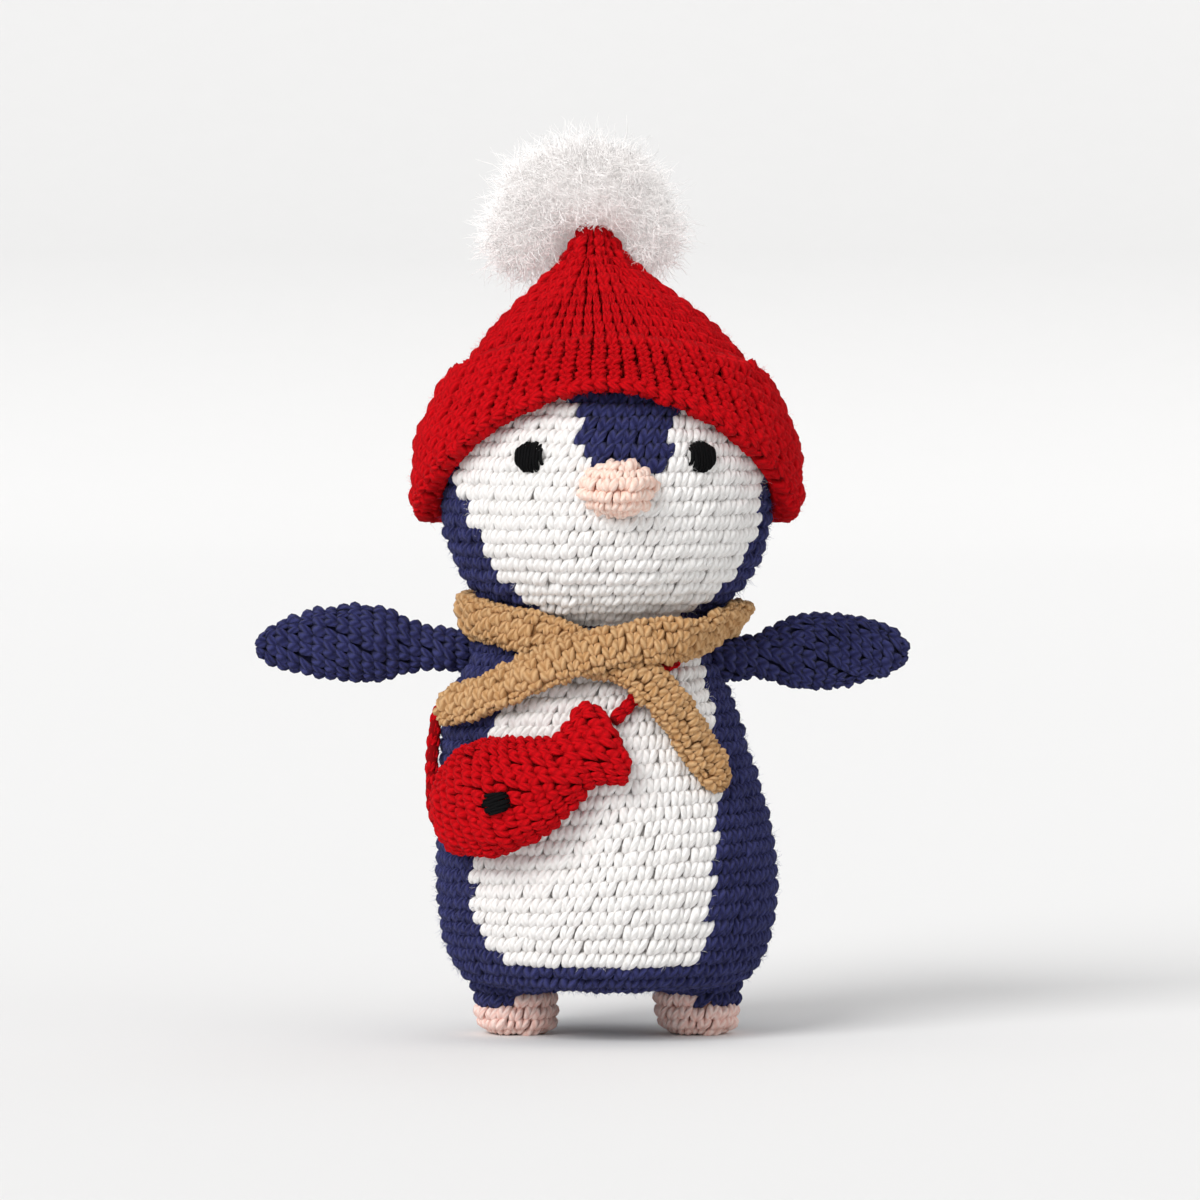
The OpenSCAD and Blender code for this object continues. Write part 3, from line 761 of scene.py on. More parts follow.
def in_face(turn, s):
    """Whether a stitch of the head is white: in the face, and not in the stripe on the brow."""
    z = np.interp(s, head_skin.marks, head_marks_z)
    left = np.interp(z, [134, 142, 160, 180, 210], degrees([-34, -42, -54, -64, -66]))
    right = np.interp(z, [134, 142, 160, 175, 210], degrees([44, 54, 66, 71, 74]))
    stripe_left = np.interp(z, [180, 206], degrees([-7, -14]))
    stripe_right = np.interp(z, [180, 206], degrees([18, 32]))
    stripe = (z > 180) & (turn > stripe_left) & (turn < stripe_right)
    return (turn > left) & (turn < right) & (z > 133) & (z < 214) & ~stripe


def around_face(turn, s):
    return ~in_face(turn, s)


head_plan = plan_rounds(head_skin, first=3.0, last=head_skin.length - 2)
head_navy = crochet("head_navy", head_skin, head_plan, NAVY, keep=around_face, seed=31, loose=2.2)
head_white = crochet("head_white", head_skin, head_plan, WHITE, keep=in_face, seed=32)
head_filling = lining("head_filling", head_skin, -1.1, NAVY, around=96, along=60, second=WHITE, where=in_face)
belongs(head_navy, "head", "navy_yarn", "head_fabric")
belongs(head_white, "head", "white_yarn", "face_panel")
belongs(head_filling, "head", "navy_yarn", "head_stuffing")


# %% Beak
def beak_skin():
    """The beak lies across the face: its rounds go round an upright axis just in front of the face."""
    low, high = box_mm("beak")
    spot = (low + high) / 2
    turn = math.atan2(spot[0], -spot[1])
    reach = head_half(spot[2])
    way = np.array([math.sin(turn), -math.cos(turn), 0.0])
    half_side, half_high = (high[0] - low[0]) / 2 - 1.0, (high[2] - low[2]) / 2 - 1.0
    stands_out = -low[1] - reach
    shares = [(-1.0, 0.02, 0.0), (-0.97, 0.42, 0.35), (-0.7, 0.8, 0.72), (-0.3, 0.99, 0.95), (0.2, 1.0, 1.0),
              (0.62, 0.84, 0.8), (0.95, 0.46, 0.42), (1.0, 0.02, 0.0)]
    base = way * (reach - 2.0) + [0, 0, spot[2]]
    rows = []
    for up, wide, deep in shares:
        half_front = max(0.02, (stands_out + 1.0) * deep)
        rows.append(station(base + [0, 0, half_high * up], (0, 0, 1), way, half_side * wide, half_front))
    return Skin(rows)


beak_shape = beak_skin()
beak_plan = plan_rounds(beak_shape, tall=3.8, wide=4.0)
beak_yarn = crochet("beak_yarn", beak_shape, beak_plan, PEACH, seed=41, plump=1.15, loose=3.0)
beak_core = lining("beak_filling", beak_shape, -1.0, PEACH, around=24, along=14)
belongs(beak_yarn, "head", "peach_yarn", "beak")
belongs(beak_core, "head", "peach_yarn", "beak_stuffing")


# %% [markdown]
# ## Wings
#
# A wing is a flat leaf, worked in rounds across its length and hardly filled. The free end is
# rounded and the root narrows to where it is sewn to the shoulder. The right wing sweeps back and is
# cupped, so its hollow side shows.

# %% Wings
WING_LENGTH = 68.0
ROOT, ROOT_T, BLADE_T = 5.8, 4.0, 5.6
WING_SHARES = [
    (-1.5, 0.3, 0.3), (-1.2, 1.0, 0.9), (0.0, 1.1, 1.1),
]
BLADE_SHARES = [
    (0.13, 0.5, 0.66), (0.22, 0.66, 0.78), (0.32, 0.87, 0.93), (0.42, 1.0, 1.0), (0.55, 0.97, 0.98),
    (0.7, 0.86, 0.88), (0.84, 0.7, 0.74), (0.94, 0.5, 0.52), (0.99, 0.24, 0.26), (1.0, 0.01, 0.01),
]


def make_wing(name, side, sweep, cup, seed):
    low, high = box_mm("wing_" + name)
    joint = next(j for j in frame["joints"] if j["name"] == name + "_wing_flap")
    pivot = np.array(joint["pos_m"]) / MM
    way = np.array([side * math.cos(sweep), math.sin(sweep), 0.0])
    half_h = (high[2] - low[2]) / 2 - 0.9
    reach = WING_LENGTH - ROOT
    front = (0, -1, 0)
    rows = []
    for along, h, t in WING_SHARES:
        rows.append(station(pivot + way * along * ROOT, way, front, ROOT * h - 0.4, ROOT_T * t - 0.4))
    for share, h, t in BLADE_SHARES:
        spot = pivot + way * reach * share + [0, 0, 2.5 * math.sin(math.radians(150 * share))]
        rows.append(station(spot, way, front, max(0.05, half_h * h - 0.5), max(0.05, BLADE_T * t - 0.5)))
    skin = Skin(rows)
    plain = skin.point

    def cupped(turn, s):
        """The blade's edges curl towards the front."""
        spot = plain(turn, s)
        share = np.clip(((spot - pivot) @ way) / reach, 0, 1)
        middle = pivot[2] + 2.5 * np.sin(np.radians(150 * share))
        off = (spot[..., 2] - middle) / half_h
        spot[..., 1] -= cup * smooth(share * 1.6) * off * off
        return spot

    skin.point = cupped
    plan = plan_rounds(skin, first=1.0, tall=4.0, wide=4.2)
    yarn_piece = crochet("wing_" + name + "_yarn", skin, plan, NAVY, seed=seed, loose=2.2)
    core = lining("wing_" + name + "_filling", skin, -1.0, NAVY, around=32, along=30)
    for piece in (yarn_piece, core):
        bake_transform(piece)
    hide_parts("wing_" + name)
    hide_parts("wing_" + name + "_stuffing")


make_wing("left", -1, 0.0, 0.8, 51)
make_wing("right", 1, math.radians(26), 6.5, 52)


# %% [markdown]
# ## The hat
#
# The hat is ribbed: its rows run up and down, so the outside shows upright ridges with a groove
# between each pair. The ridges draw together as the hat narrows, and their number halves twice on
# the way to the tip. The lower edge is folded up into a brim of double thickness.

# %% Hat surface
tip_z = box_mm("hat_crown")[1][2]
HAT_H, HAT_T, HAT_EASE = 79.0, 3.8, 0.9
HAT_SHARES = [
    (0, 1), (0.15, 0.985), (0.3, 0.895), (0.44, 0.79), (0.55, 0.68), (0.65, 0.535), (0.74, 0.38),
    (0.84, 0.2), (0.9, 0.1), (0.95, 0.05), (1.02, 0.01),
]
hat_shares = rounded(HAT_SHARES, 1)
RIBS = 62


def hat_in(z):
    """The half width of the hat's inside at a height."""
    return (head_r + HAT_EASE) * np.interp((z - head_z) / HAT_H, hat_shares[:, 0], hat_shares[:, 1])


def hat_x(z):
    return -4 * smooth(((z - head_z) / HAT_H - 0.45) / 0.55)


def rim_z(turn):
    """The rim is high over the face and low at the back."""
    front = (np.cos(turn) + np.sqrt(np.cos(turn) ** 2 + 0.03)) / 2
    return head_z - 12.5 + 43 * front ** 1.15


def brim_top_z(turn):
    return head_z + 32.5 + 12 * np.cos(turn)


class HatSkin(Skin):
    """A skin whose line up the hat is given, at each turn, by heights and distances from the head."""

    def __init__(self, line, length):
        self.line, self.length, self.tilt = line, length, None

    def point(self, turn, s):
        turn, s = np.broadcast_arrays(np.asarray(turn, float), np.asarray(s, float))
        z, out = self.line(turn, np.clip(s / self.length, 0, 1))
        r = hat_in(z) + out
        return np.stack([hat_x(z) + r * np.sin(turn), -r * np.cos(turn), z], -1)


def crown_line(turn, share):
    low = brim_top_z(turn) - 7
    z = low + (tip_z + 1.5 - low) * share
    pucker = 0.7 * np.sin(9 * turn + 0.6) * smooth((share - 0.35) / 0.3) * smooth((1 - share) / 0.2)
    near_tip = np.clip((share - 0.9) / 0.1, 0, 1)
    out = (HAT_T - 2.1 + pucker + 1.6 * smooth((share - 0.72) / 0.15)) * np.sqrt(1.0001 - near_tip ** 2)
    return z, out


def brim_line(turn, share):
    rim, top = rim_z(turn), brim_top_z(turn)
    places = [0.0, 0.07, 0.14, 0.2, 0.9, 0.95, 1.0]
    ups = [5.0, 0.5, -1.0, 1.5, -1.2, 0.5, -2.5]
    outs = [1.2, 1.4, 4.2, 6.9, 6.3, 6.0, 2.0]
    from_top = np.interp(share, [0.2, 0.9], [0, 1])
    z = rim + (top - rim) * from_top + np.interp(share, places, ups)
    return z, np.interp(share, places, outs)


crown_skin = HatSkin(crown_line, 62.0)
brim_skin = HatSkin(brim_line, 44.0)


# %% Ribs and edge
def ribs(name, skin, tall, seed, plump, counts):
    """Rounds of ribbed stitches. counts gives how many ribs there are from each share of the way up."""
    steps = np.linspace(0, skin.length, round(skin.length / tall) + 1)
    plan = []
    for a, b in zip(steps[:-1], steps[1:]):
        share = (a + b) / 2 / skin.length
        plan.append((a, b, [count for start, count in counts if share >= start][-1]))
    return crochet(name, skin, plan, RED, drift=0.0, plump=plump, seed=seed, slant=0.12, pattern=RIB_STITCH)


crown_counts = [(0, RIBS), (0.52, RIBS // 2), (0.8, RIBS // 4)]
crown_yarn = ribs("hat_crown_yarn", crown_skin, 4.3, 61, 1.0, crown_counts)
brim_yarn = ribs("hat_brim_yarn", brim_skin, 4.6, 62, 1.15, [(0, RIBS)])
RIM_ROW, RIM_COUNT = 4.2, 80
rim_skin = HatSkin(lambda turn, share: (rim_z(turn) - 1.4 + 4.0 * share, 6.4 + 0.9 * share), RIM_ROW)
rim_plan = [(0.0, RIM_ROW, RIM_COUNT)]
rim_yarn = crochet("hat_rim_yarn", rim_skin, rim_plan, RED, drift=0, seed=63, sideways=True)
crown_lining = lining("hat_crown_lining", crown_skin, -1.0, RED, around=62, along=30)


def band_lining(name, around=62):
    """The brim's inside: a closed hoop under its ribs. Its section runs up outside and down inside."""
    section = [(0.05, 2.2), (0.03, 4.6), (0.12, 5.5), (0.35, 5.3), (0.6, 5.0), (0.85, 4.6), (0.93, 3.6),
               (0.85, 2.2), (0.6, 1.6), (0.35, 1.6)]
    turn, j = np.meshgrid(np.arange(around) * 2 * math.pi / around, np.arange(len(section)))
    share, out = np.array(section)[j.ravel()].T
    turn = turn.ravel()
    z = rim_z(turn) + (brim_top_z(turn) - rim_z(turn)) * share
    r = hat_in(z) + out
    points = np.stack([hat_x(z) + r * np.sin(turn), -r * np.cos(turn), z], -1)
    k, j = (grid.ravel() for grid in np.meshgrid(np.arange(around), np.arange(len(section))))
    right, above = (k + 1) % around, (j + 1) % len(section)
    quads = np.column_stack([j * around + k, j * around + right, above * around + right, above * around + k])
    starts = np.arange(len(quads)) * 4
    # The brim's inside takes the red yarn's painted gap shade, as the other linings do
    made = build_mesh(name, points, quads.ravel(), starts, np.zeros((quads.size, 2)), sunk_in_painted_shade(len(points)))
    made.data.materials.append(RED)
    return made


brim_lining = band_lining("hat_brim_lining")
belongs(crown_yarn, "hat", "red_yarn", "hat_crown")
belongs(brim_yarn, "hat", "red_yarn", "hat_brim")
for piece in (rim_yarn, crown_lining, brim_lining):
    belongs(piece, "hat", "red_yarn")


# %% [markdown]
# ## The pompom
#
# A pompom is hundreds of yarn ends tied at one point and brushed out until they are a cloud. Its
# middle is so dense that it reads as one soft lump, so a core of four lobes stands for it. Over the
# core grow thousands of short curly wisps, each a thin tapered tube of three sides.

# %% Pompom strands
fluff_low, fluff_high = box_mm("pompom")
fluff_r = (fluff_high[0] - fluff_low[0]) / 2
fluff_middle = (fluff_low + fluff_high) / 2
fluff_centre = np.array([fluff_middle[0], fluff_middle[1], fluff_high[2] - fluff_r])
hat_tip = np.array([hat_x(tip_z), 0, tip_z])
STRANDS = 7400
print("pompom radius", round(fluff_r, 1), "centre", fluff_centre.round(1), "tip", hat_tip.round(1))


def strand_material(name, tone, deep, painted_glow=0.0):
    """Brushed fibre: one tone at the tips, a deeper one at the roots as painted shade, and a little painted
    glow.
    """
    material, w, shader = new_material(name)
    place = w.node("ShaderNodeTexCoord", output=3)
    lift = w.node("ShaderNodeAttribute", {"attribute_name": "lift"}, output=2)
    strand = w.node("ShaderNodeAttribute", {"attribute_name": "strand"}, output=2)
    patches = w.node("ShaderNodeTexNoise", None, {"Vector": place, "Scale": 60.0, "Detail": 3.0})
    # Painted shade: the deeper tone at the roots, where the fibres lie in under the others
    share = w.node("ShaderNodeClamp", None, {"Value": lift * 1.3 + strand * 0.3 + patches * 0.4 - 0.3})
    w.tree.links.new(share.mix((*deep, 1), (*tone, 1)).socket, shader.inputs["Base Color"])
    grain = w.node("ShaderNodeTexNoise", None, {"Vector": place, "Scale": 2500.0, "Detail": 2.0})
    bump = w.node("ShaderNodeBump", None, {"Strength": 0.3, "Distance": 0.0003, "Height": grain})
    w.tree.links.new(bump.socket, shader.inputs["Normal"])
    shader.inputs["Roughness"].default_value = 0.9
    shader.inputs["Specular IOR Level"].default_value = 0.1
    # Painted glow: the fibre gives out a little light of its own
    shader.inputs["Emission Color"].default_value = (1.0, 0.95, 0.94, 1)
    shader.inputs["Emission Strength"].default_value = painted_glow
    return material


# The pompom's painted glow makes it brighter than the lamps alone light it
FLUFF = strand_material("pompom_yarn", linear(254, 252, 251), linear(248, 214, 210), painted_glow=0.12)


def unit_rows(v):
    return v / np.linalg.norm(v, axis=1, keepdims=True)


def tubes(name, line, radius, aside, material, sides, numbers=None):
    """Closed tubes along lines of points. aside is any direction off each line."""
    many, rings = line.shape[:2]
    way = np.gradient(line, axis=1)
    way /= np.maximum(np.linalg.norm(way, axis=2, keepdims=True), 1e-9)
    u = np.cross(way, aside(way))
    u /= np.linalg.norm(u, axis=2, keepdims=True)
    v = np.cross(way, u)
    turn = (np.arange(sides) * 2 * math.pi / sides)[None, None, :, None]
    ring = u[:, :, None] * np.cos(turn) + v[:, :, None] * np.sin(turn)
    points = (line[:, :, None] + ring * radius).reshape(-1, 3)
    size = rings * sides
    k, j = np.meshgrid(np.arange(sides), np.arange(rings - 1))
    a, b = (j * sides + k).ravel(), (j * sides + (k + 1) % sides).ravel()
    quads = np.column_stack([a, b, b + sides, a + sides]).ravel()
    one = np.concatenate([quads, np.arange(sides)[::-1], np.arange(sides) + (rings - 1) * sides])
    begin = np.concatenate([np.arange(len(quads) // 4) * 4, len(quads) + np.array([0, sides])])
    loops = (one[None, :] + size * np.arange(many)[:, None]).ravel()
    starts = (begin[None, :] + len(one) * np.arange(many)[:, None]).ravel()
    made = build_mesh(name, points, loops, starts, np.zeros((len(loops), 2)), numbers)
    made.data.materials.append(material)
    return made


def off_hair(way):
    return np.where(np.abs(way[..., 2:3]) < 0.8, [[[0, 0, 1.0]]], [[[1.0, 0, 0]]])


def hairs(name, roots, tips, bends, thick, material, rings=4, curl=0.0, lift=None):
    """Tapered hairs from roots to tips, each bowed by its own bend and curled round its own line."""
    many, sides = len(roots), 3
    t = np.linspace(0, 1, rings)
    share = t[None, :, None]
    line = roots[:, None] + (tips - roots)[:, None] * share + bends[:, None] * share * share
    rng = np.random.default_rng(many + 7)
    one, two = unit_rows(rng.normal(0, 1, (many, 3))), unit_rows(rng.normal(0, 1, (many, 3)))
    phase = share * (5.0 + 4.0 * rng.random((many, 1, 1)))
    line = line + curl * (one[:, None] * np.sin(phase) + two[:, None] * (np.cos(phase) - 1))
    taper = thick * (1 - 0.85 * t)[None, :, None, None]
    lift = np.tile(np.repeat(t, sides), many) if lift is None else np.repeat(lift, rings * sides)
    own = np.repeat(np.random.default_rng(many).random(many), rings * sides)
    return tubes(name, line, taper, off_hair, material, sides, {"lift": lift, "strand": own})


# Share of the wisps, middle from the cloud's middle, and half sizes
LOBES = [
    (0.58, (-2, 1, 2), (30, 22, 20)), (0.15, (-20, 0, -10), (14, 13, 14)), (0.15, (18, 0, -9), (12, 13, 13)),
    (0.12, (-4, 11, -1), (21, 13, 14)),
]


CORE_SHARE, WISP_R = 0.52, 0.15


def pompom_core():
    """A soft lumpy heart of packed yarn, which keeps the cloud from being seen through."""
    deselect()
    parts = []
    for _, middle, half in LOBES:
        bpy.ops.mesh.primitive_ico_sphere_add(subdivisions=4, radius=1, location=(0, 0, 0))
        lobe = bpy.context.object
        size = np.array(half) * CORE_SHARE * MM
        place = (fluff_centre + middle) * MM + np.array([0, 0.004, 0.001])
        for vertex in lobe.data.vertices:
            x, y, z = vertex.co
            lump = 1 + 0.05 * math.sin(9 * x + 3) * math.sin(8 * y) + 0.05 * math.sin(11 * z)
            vertex.co = [place[i] + vertex.co[i] * lump * size[i] for i in range(3)]
        parts.append(lobe)
    for lobe in parts:
        lobe.select_set(True)
    bpy.context.view_layer.objects.active = parts[0]
    bpy.ops.object.join()
    core = bpy.context.object
    core.name = "pompom_core"
    bpy.ops.object.shade_smooth()
    full = np.ones(len(core.data.vertices), np.float32)
    for key in ("lift", "strand"):
        core.data.attributes.new(key, "FLOAT", "POINT").data.foreach_set("value", full)
    core.data.materials.append(FLUFF)
    return core


def make_pompom(name, seed, deepest):
    """Curly wisps in a wide cloud over the tip, with two lobes that hang beside it."""
    rng = np.random.default_rng(seed)
    which = rng.choice(len(LOBES), STRANDS, p=[share for share, _, _ in LOBES])
    middles = fluff_centre + np.array([middle for _, middle, _ in LOBES])[which]
    halves = np.array([half for _, _, half in LOBES], float)[which]
    aim = unit_rows(rng.normal(0, 1, (STRANDS, 3)))
    roots = middles + aim * halves * (deepest + (0.86 - deepest) * rng.random((STRANDS, 1)))
    tips = roots + unit_rows(aim + rng.normal(0, 0.8, (STRANDS, 3))) * (4 + 7 * rng.random((STRANDS, 1)) ** 2)
    # The hat's tip stays in front of the cloud, and nothing grows inside it
    for spots in (roots, tips):
        below = (spots[:, 2] < hat_tip[2] + 1) & (np.abs(spots[:, 0] - hat_tip[0]) < 11)
        near = below & (spots[:, 1] < 7)
        spots[near, 1] = 9 + 6 * rng.random(near.sum())
    reach = np.linalg.norm(tips - hat_tip, axis=1)
    bends = rng.normal(0, 1.5, (STRANDS, 3))
    return hairs(name, roots, tips, bends, WISP_R, FLUFF, rings=5, curl=1.1, lift=np.clip(reach / 20, 0, 1))


belongs(pompom_core(), "hat_pompom", "pompom_yarn")
belongs(make_pompom("pompom_strands", 71, 0.5), "hat_pompom", "pompom_yarn", "pompom", "pompom_tie")
belongs(make_pompom("pompom_wisps", 72, 0.6), "hat_pompom", "pompom_yarn")


# %% [markdown]
# ## Loose fibres
#
# Acrylic yarn is never quite clean. Short single fibres stand off every stitch and blur its edge.
# They are fine curled hairs, sown over the same surfaces as the stitches.

# %% Fuzz
FUZZ_LENGTH, FUZZ_R = 2.0, 0.07


def fuzz(name, skin, count, tone, body, slot_name, keep=None, seed=101):
    """Sows fine hairs evenly over a skin, where keep allows."""
    rng = np.random.default_rng(seed)
    marks = np.linspace(0, skin.length, 200)
    girths = np.array([skin.girth(float(m)) for m in marks])
    s = np.interp(rng.random(count), np.cumsum(girths) / girths.sum(), marks)
    turn = rng.random(count) * 2 * math.pi - math.pi
    if keep is not None:
        chosen = keep(turn, s)
        turn, s = turn[chosen], s[chosen]
    many = len(turn)
    roots = skin.lifted(turn, s, np.full(many, 0.9))
    out = unit_rows(skin.lifted(turn, s, np.full(many, 3.0)) - roots)
    way = unit_rows(out + rng.normal(0, 0.8, (many, 3)))
    tips = roots + way * FUZZ_LENGTH * (0.6 + 0.8 * rng.random((many, 1)))
    bends = rng.normal(0, 0.5, (many, 3))
    belongs(hairs(name, roots, tips, bends, FUZZ_R, tone, curl=0.35), body, slot_name)


# The fuzz is paler than its yarn, a painted halo of light on loose fibres, with painted shade at the roots
NAVY_FUZZ = strand_material("navy_fuzz", linear(96, 100, 160), linear(60, 62, 116))
WHITE_FUZZ = strand_material("white_fuzz", linear(252, 252, 251), linear(240, 238, 236))
RED_FUZZ = strand_material("red_fuzz", linear(232, 30, 40), linear(206, 8, 20))
fuzz("torso_fuzz_navy", torso_skin, 9000, NAVY_FUZZ, "torso", "navy_yarn", around_belly, seed=101)
fuzz("torso_fuzz_white", torso_skin, 9000, WHITE_FUZZ, "torso", "white_yarn", in_belly, seed=102)
fuzz("head_fuzz_navy", head_skin, 7000, NAVY_FUZZ, "head", "navy_yarn", around_face, seed=103)
fuzz("head_fuzz_white", head_skin, 7000, WHITE_FUZZ, "head", "white_yarn", in_face, seed=104)
fuzz("hat_crown_fuzz", crown_skin, 5000, RED_FUZZ, "hat", "red_yarn", seed=105)
fuzz("hat_brim_fuzz", brim_skin, 6000, RED_FUZZ, "hat", "red_yarn", seed=106)


# %% [markdown]
# ## The scarf
#
# The scarf is a narrow strip of long rows. It is modelled as two halves that meet at the nape, one
# for each end, which the CAD model lifts on a hinge of its own. Each half is a thin strip of cloth
# with stitches laid along it; the rows run along the strip, so the stitches lie on their sides.

# %% Scarf
SCARF_W, SCARF_T, SCARF_ROWS = 13.0, 5.0, 9
STACK, STRAP_ROOM = 5.4, 4.3
wrap_z, knot_z = neck_z + 5, neck_z - 7
# Turn in degrees, height, lift off what lies below
OVER_ROUTE = [
    (184, wrap_z, 0), (155, wrap_z, 0), (130, wrap_z, 0.5), (105, wrap_z, 1.5), (85, wrap_z + 1, 2.5),
    (65, wrap_z, 1.5), (48, wrap_z - 2.5, STRAP_ROOM), (33, wrap_z - 6, STACK + 2.5),
    (18, wrap_z - 9, STACK + 1.5), (4, knot_z, STACK + 1), (-9, knot_z - 4, STACK),
    (-21, knot_z - 8, STACK - 1), (-34, knot_z - 11.5, 2), (-47, knot_z - 15, 0.6), (-60, knot_z - 17.5, 0.6),
    (-70, knot_z - 19, 0.6),
]
UNDER_ROUTE = [
    (-176, wrap_z, 0), (-155, wrap_z, 0), (-130, wrap_z, 0), (-105, wrap_z, 0.5), (-85, wrap_z, 1.5),
    (-65, wrap_z - 1, 1), (-48, wrap_z - 3, 0.6), (-33, wrap_z - 5.5, 0.5), (-19, wrap_z - 8.5, 0.3),
    (-5, knot_z, 0.3), (10, knot_z - 4, 2.5), (20, knot_z - 9, STRAP_ROOM), (29, knot_z - 17, 3.4),
    (37, knot_z - 26, 0.8), (43, knot_z - 35, 0.4), (47, knot_z - 42, 0.4),
]
GROOVE = 5.0


def rest_point(turn, z):
    """Where a strip that spans the groove of the neck rests, at a turn and a height."""
    share = float(np.clip((z - neck_z + GROOVE) / (2 * GROOVE), 0, 1))
    low = on_torso(turn, min(z, neck_z - GROOVE), YARN_INSET + 0.6)
    r = head_half(max(z, neck_z + GROOVE)) + 0.6
    high = np.array([r * math.sin(turn), -r * math.cos(turn), 0])
    spot = low * (1 - share) + high * share
    return np.array([spot[0], spot[1], z])


def scarf_frame(stop):
    """The scarf's middle and its way out at a stop of its route, clear of what bulges under it."""
    turn, z = math.radians(stop[0]), stop[1]
    along = rest_point(turn + 0.05, z) - rest_point(turn - 0.05, z)
    up = rest_point(turn, z + SCARF_W / 2) - rest_point(turn, z - SCARF_W / 2)
    out = np.cross(along, up)
    out /= np.linalg.norm(out)
    middle = (rest_point(turn, z + SCARF_W / 2) + rest_point(turn, z - SCARF_W / 2)) / 2
    across = (-0.3, -0.15, 0, 0.15, 0.3)
    bulge = max(float((rest_point(turn, z + k * SCARF_W) - middle) @ out) for k in across)
    return middle + out * (max(0.0, bulge) + stop[2] + SCARF_T / 2), out


def scarf_skin(route, half_w, half_t):
    """A flat skin along a route, rounded off at its free end, and its length."""
    route = rounded(route, 2)
    spots, outs = zip(*(scarf_frame(stop) for stop in route))
    spots = np.array(spots)
    ways = np.gradient(spots, axis=0)
    gaps = np.linalg.norm(np.diff(spots, axis=0), axis=1)
    marks = np.concatenate([[0], np.cumsum(gaps)])
    rows = []
    for i, (spot, way, out) in enumerate(zip(spots, ways, outs)):
        left = marks[-1] - marks[i]
        taper = math.sqrt(max(0.0, 1 - (1 - min(1.0, left / 9.0)) ** 2)) if left < 9 else 1.0
        taper = 0.45 + 0.55 * taper
        rows.append(station(spot, way, out, half_w * taper, half_t * (0.6 + 0.4 * taper)))
    last = np.array(rows[-1])
    last[3:] = np.array(rows[-1][3:]) * 0.03
    last[:3] += ways[-1] / np.linalg.norm(ways[-1]) * 0.8
    return Skin(rows + [list(last)], square=0.92, passes=0), marks[-1]


def make_scarf(name, route, hinge, seed):
    skin, length = scarf_skin(route, SCARF_W / 2 - 0.7, SCARF_T / 2 - 0.9)
    edges = np.linspace(0, skin.length, round(length / 4.0) + 1)
    plan = [(a, b, SCARF_ROWS) for a, b in zip(edges[:-1], edges[1:])]
    stitches = crochet("scarf_" + name + "_yarn", skin, plan, TAN, plump=1.1, seed=seed, sideways=True,
                       loose=2.4, slant=0.1)
    strip = lining("scarf_" + name + "_strip", skin, -0.6, TAN, around=20, along=90)
    joint = next(j for j in frame["joints"] if j["name"] == hinge)
    at = np.array(joint["pos_m"])
    spots = skin.rows[:, :3] * MM
    near = int(np.argmin(np.linalg.norm(spots - at, axis=1)))
    way = spots[min(near + 1, len(spots) - 1)] - spots[near - 1]
    way /= np.linalg.norm(way)
    for piece in (stitches, strip):
        tuple(at - way * 0.004)
        tuple(at + way * 0.008)
        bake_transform(piece)
    print("scarf", name, "half is", round(length), "mm long")
    length * MM
    return stitches


over = make_scarf("over", OVER_ROUTE, "scarf_over_lift", 81)
under = make_scarf("under", UNDER_ROUTE, "scarf_under_lift", 82)
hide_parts("scarf_wrap", "scarf_tail_over")
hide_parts("scarf_tail_under")


# %% [markdown]
# ## The fish bag
#
# The bag is a small stuffed fish, worked in rounds from its mouth to its tail, where the rounds
# widen again and are pressed flat. It lies on the belly, so its stations follow the torso's skin.

# %% Fish
# Turn in degrees, share of the torso's height, share of the half height, share of the half thickness
FISH_ROWS = [
    (-62.5, 0.495, 0.02, 0.02), (-62, 0.497, 0.3, 0.3), (-59, 0.503, 0.56, 0.56), (-51, 0.52, 0.8, 0.82),
    (-41, 0.54, 0.97, 0.97), (-32, 0.555, 1.0, 1.0), (-23, 0.575, 0.9, 0.93), (-15, 0.605, 0.7, 0.76),
    (-9, 0.632, 0.54, 0.6), (-3, 0.662, 0.6, 0.5), (2.5, 0.682, 0.78, 0.44), (7, 0.697, 0.72, 0.38),
    (8, 0.7, 0.05, 0.05),
]
FISH_HALF_H, FISH_HALF_T, REST_GAP = 18.5, 9.0, 0.9


def fish_skin():
    spots, outs = [], []
    for turn, share, _, thick in FISH_ROWS:
        z = crotch_z + torso_h * share
        out = FISH_HALF_T * max(thick, 0.3) + REST_GAP + YARN_INSET
        spot = on_torso(math.radians(turn), z, out)
        spots.append(spot)
        outs.append(spot - on_torso(math.radians(turn), z, 0.0))
    spots = np.array(spots)
    ways = np.gradient(spots, axis=0)
    rows = []
    for spot, way, out, (_, _, high, thick) in zip(spots, ways, outs, FISH_ROWS):
        half_h, half_t = max(0.05, FISH_HALF_H * high - 0.8), max(0.05, FISH_HALF_T * thick - 0.8)
        rows.append(station(spot, way, out, half_h, half_t))
    return Skin(rows)


fish_shape = fish_skin()
fish_plan = plan_rounds(fish_shape, first=1.0, last=fish_shape.length - 1, tall=3.9, wide=4.0)
fish_yarn = crochet("fish_yarn", fish_shape, fish_plan, RED, seed=91, loose=2.4, plump=0.95)
fish_core = lining("fish_filling", fish_shape, -1.0, RED, around=32, along=30)


# %% [markdown]
# ## Embroidered eyes
#
# The eyes are satin stitches: black floss laid side by side over a small patch. Each strand is a
# thin bowed thread that dives into the fabric at both ends.

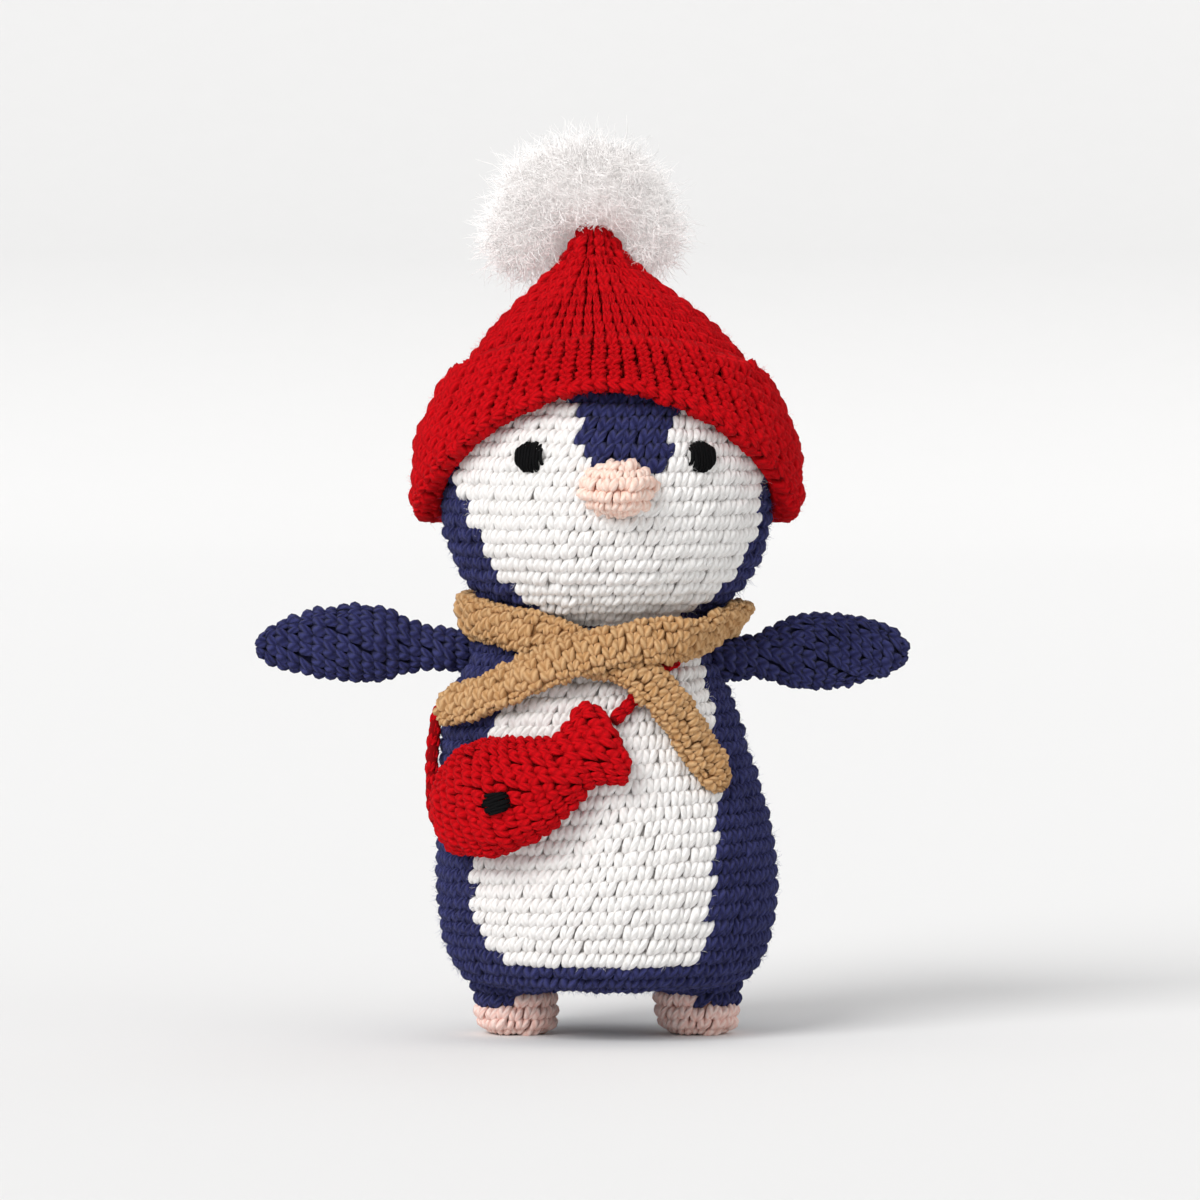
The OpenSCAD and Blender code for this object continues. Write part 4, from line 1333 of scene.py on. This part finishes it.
# %% Floss and eyes
def floss_material():
    material, w, shader = new_material("black_floss")
    place = w.node("ShaderNodeTexCoord", output=3)
    grain = w.node("ShaderNodeTexNoise", None, {"Vector": place, "Scale": 2200.0, "Detail": 3.0})
    colour = grain.mix((0.001, 0.001, 0.001, 1), (0.006, 0.006, 0.007, 1))
    w.tree.links.new(colour.socket, shader.inputs["Base Color"])
    bump = w.node("ShaderNodeBump", None, {"Strength": 0.6, "Distance": 0.0004, "Height": grain})
    w.tree.links.new(bump.socket, shader.inputs["Normal"])
    shader.inputs["Roughness"].default_value = 0.8
    shader.inputs["Specular IOR Level"].default_value = 0.08
    return material


FLOSS = floss_material()


THREAD_GAP, THREAD_R = 0.95, 0.62


def off_thread(way):
    return [[[0.31, -0.92, 0.24]]]


def satin(name, skin, turn, s, half_wide, half_tall, out, seed):
    """Threads side by side over an oval patch of a skin. Sizes are in millimetres."""
    rng = np.random.default_rng(seed)
    spot = skin.point(np.array([turn]), np.array([s]))
    per_turn = np.linalg.norm(skin.point(np.array([turn + 0.01]), np.array([s])) - spot) / 0.01
    count, rings = round(2 * half_wide / THREAD_GAP), 9
    turns, marks, outs = [], [], []
    steps = np.linspace(-1, 1, rings)
    for i in range(count):
        x = -half_wide + (i + 0.5) * 2 * half_wide / count
        half = half_tall * math.sqrt(1 - (x / half_wide) ** 2 * 0.8) + rng.normal(0, 0.15)
        turns.append(turn + (x + 0.5 * steps * rng.normal(0, 0.5)) / per_turn)
        marks.append(s + steps * half)
        outs.append(out * (1 - np.abs(steps) ** 4 * 0.8) + rng.normal(0, 0.1))
    lines = skin.lifted(*(np.array(values).ravel() for values in (turns, marks, outs)))
    return tubes(name, lines.reshape(count, rings, 3), THREAD_R, off_thread, FLOSS, sides=7)


EYE = (4.5, 4.7, 2.6)
FISH_EYE = (3.1, 4.5, 2.7)


def eye_on_head(name, seed):
    low, high = box_mm(name)
    x, z = (low[0] + high[0]) / 2, (low[2] + high[2]) / 2
    turn = math.asin(x / head_half(z))
    eye = satin(name + "_floss", head_skin, turn, float(head_s(z)), *EYE, seed)
    belongs(eye, "head", "black_floss", name)


eye_on_head("eye_left", 95)
eye_on_head("eye_right", 96)
# The fish's eye goes on the spot of its skin that is nearest to the CAD's eye
eye_low, eye_high = box_mm("fish_eye")
grid = np.meshgrid(np.linspace(-1.2, 1.2, 49), np.linspace(0, fish_shape.length, 150))
turns, marks = (values.ravel() for values in grid)
near = int(np.argmin(np.linalg.norm(fish_shape.point(turns, marks) - (eye_low + eye_high) / 2, axis=1)))
fish_eye = satin("fish_eye_floss", fish_shape, float(turns[near]), float(marks[near]), *FISH_EYE, 97)
belongs(fish_yarn, "fish_bag", "red_yarn", "fish_fabric")
belongs(fish_core, "fish_bag", "red_yarn", "fish_stuffing")
belongs(fish_eye, "fish_bag", "black_floss", "fish_eye")


# %% [markdown]
# ## The strap
#
# The strap is a narrow crocheted cord. It leaves the top of the fish's tail, goes under the scarf
# and over one shoulder, slants down across the back, and drops past the other side to the fish's
# mouth. It is one length of cord.

# %% Strap
# Turn in degrees and distance below the neck; then turn, height and distance out for the drop
STRAP_STOPS = [
    (8, 29), (17.5, 22), (30.5, 14.5), (43, 9.5), (59, 6), (77, 4.8), (103, 4.8), (122, 6),
    (137, 7.5), (158, 10), (179, 12.5), (197, 15.5), (215, 18.5), (233, 21), (249, 23), (265, 25),
]
DROP_STOPS = [(-54.5, -3, 102.5), (-55.5, -8, 94), (-56, -11, 85), (-56, -14, 76), (-54, -18, 69)]
STRAP_D, STRAP_CORE_R, STRAP_ROW = 3.2, 1.5, 4.2
strap_line = [on_torso(math.radians(turn), neck_z - below, STRAP_D / 2 + 1.6) for turn, below in STRAP_STOPS]
strap_line = rounded(np.vstack([strap_line, DROP_STOPS]), 2)
strap_rows = []
for spot, way in zip(strap_line, np.gradient(strap_line, axis=0)):
    strap_rows.append(station(spot, way, (spot[0], spot[1], 0.01), STRAP_CORE_R, STRAP_CORE_R))
strap_skin = Skin(strap_rows, passes=0)
strap_cord = lining("strap_cord", strap_skin, 0.35, RED, around=10, along=110)
strap_starts = np.arange(0.5, strap_skin.length - STRAP_ROW - 0.1, STRAP_ROW)
strap_plan = [(a, a + STRAP_ROW, 3) for a in strap_starts]
strap_yarn = crochet("strap_yarn", strap_skin, strap_plan, RED, plump=0.5, seed=99, raise_by=-0.1)
for piece in (strap_cord, strap_yarn):
    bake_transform(piece)
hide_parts("strap", "strap_drop")
tuple(strap_line[0] * MM)
(strap_line * MM).tolist()
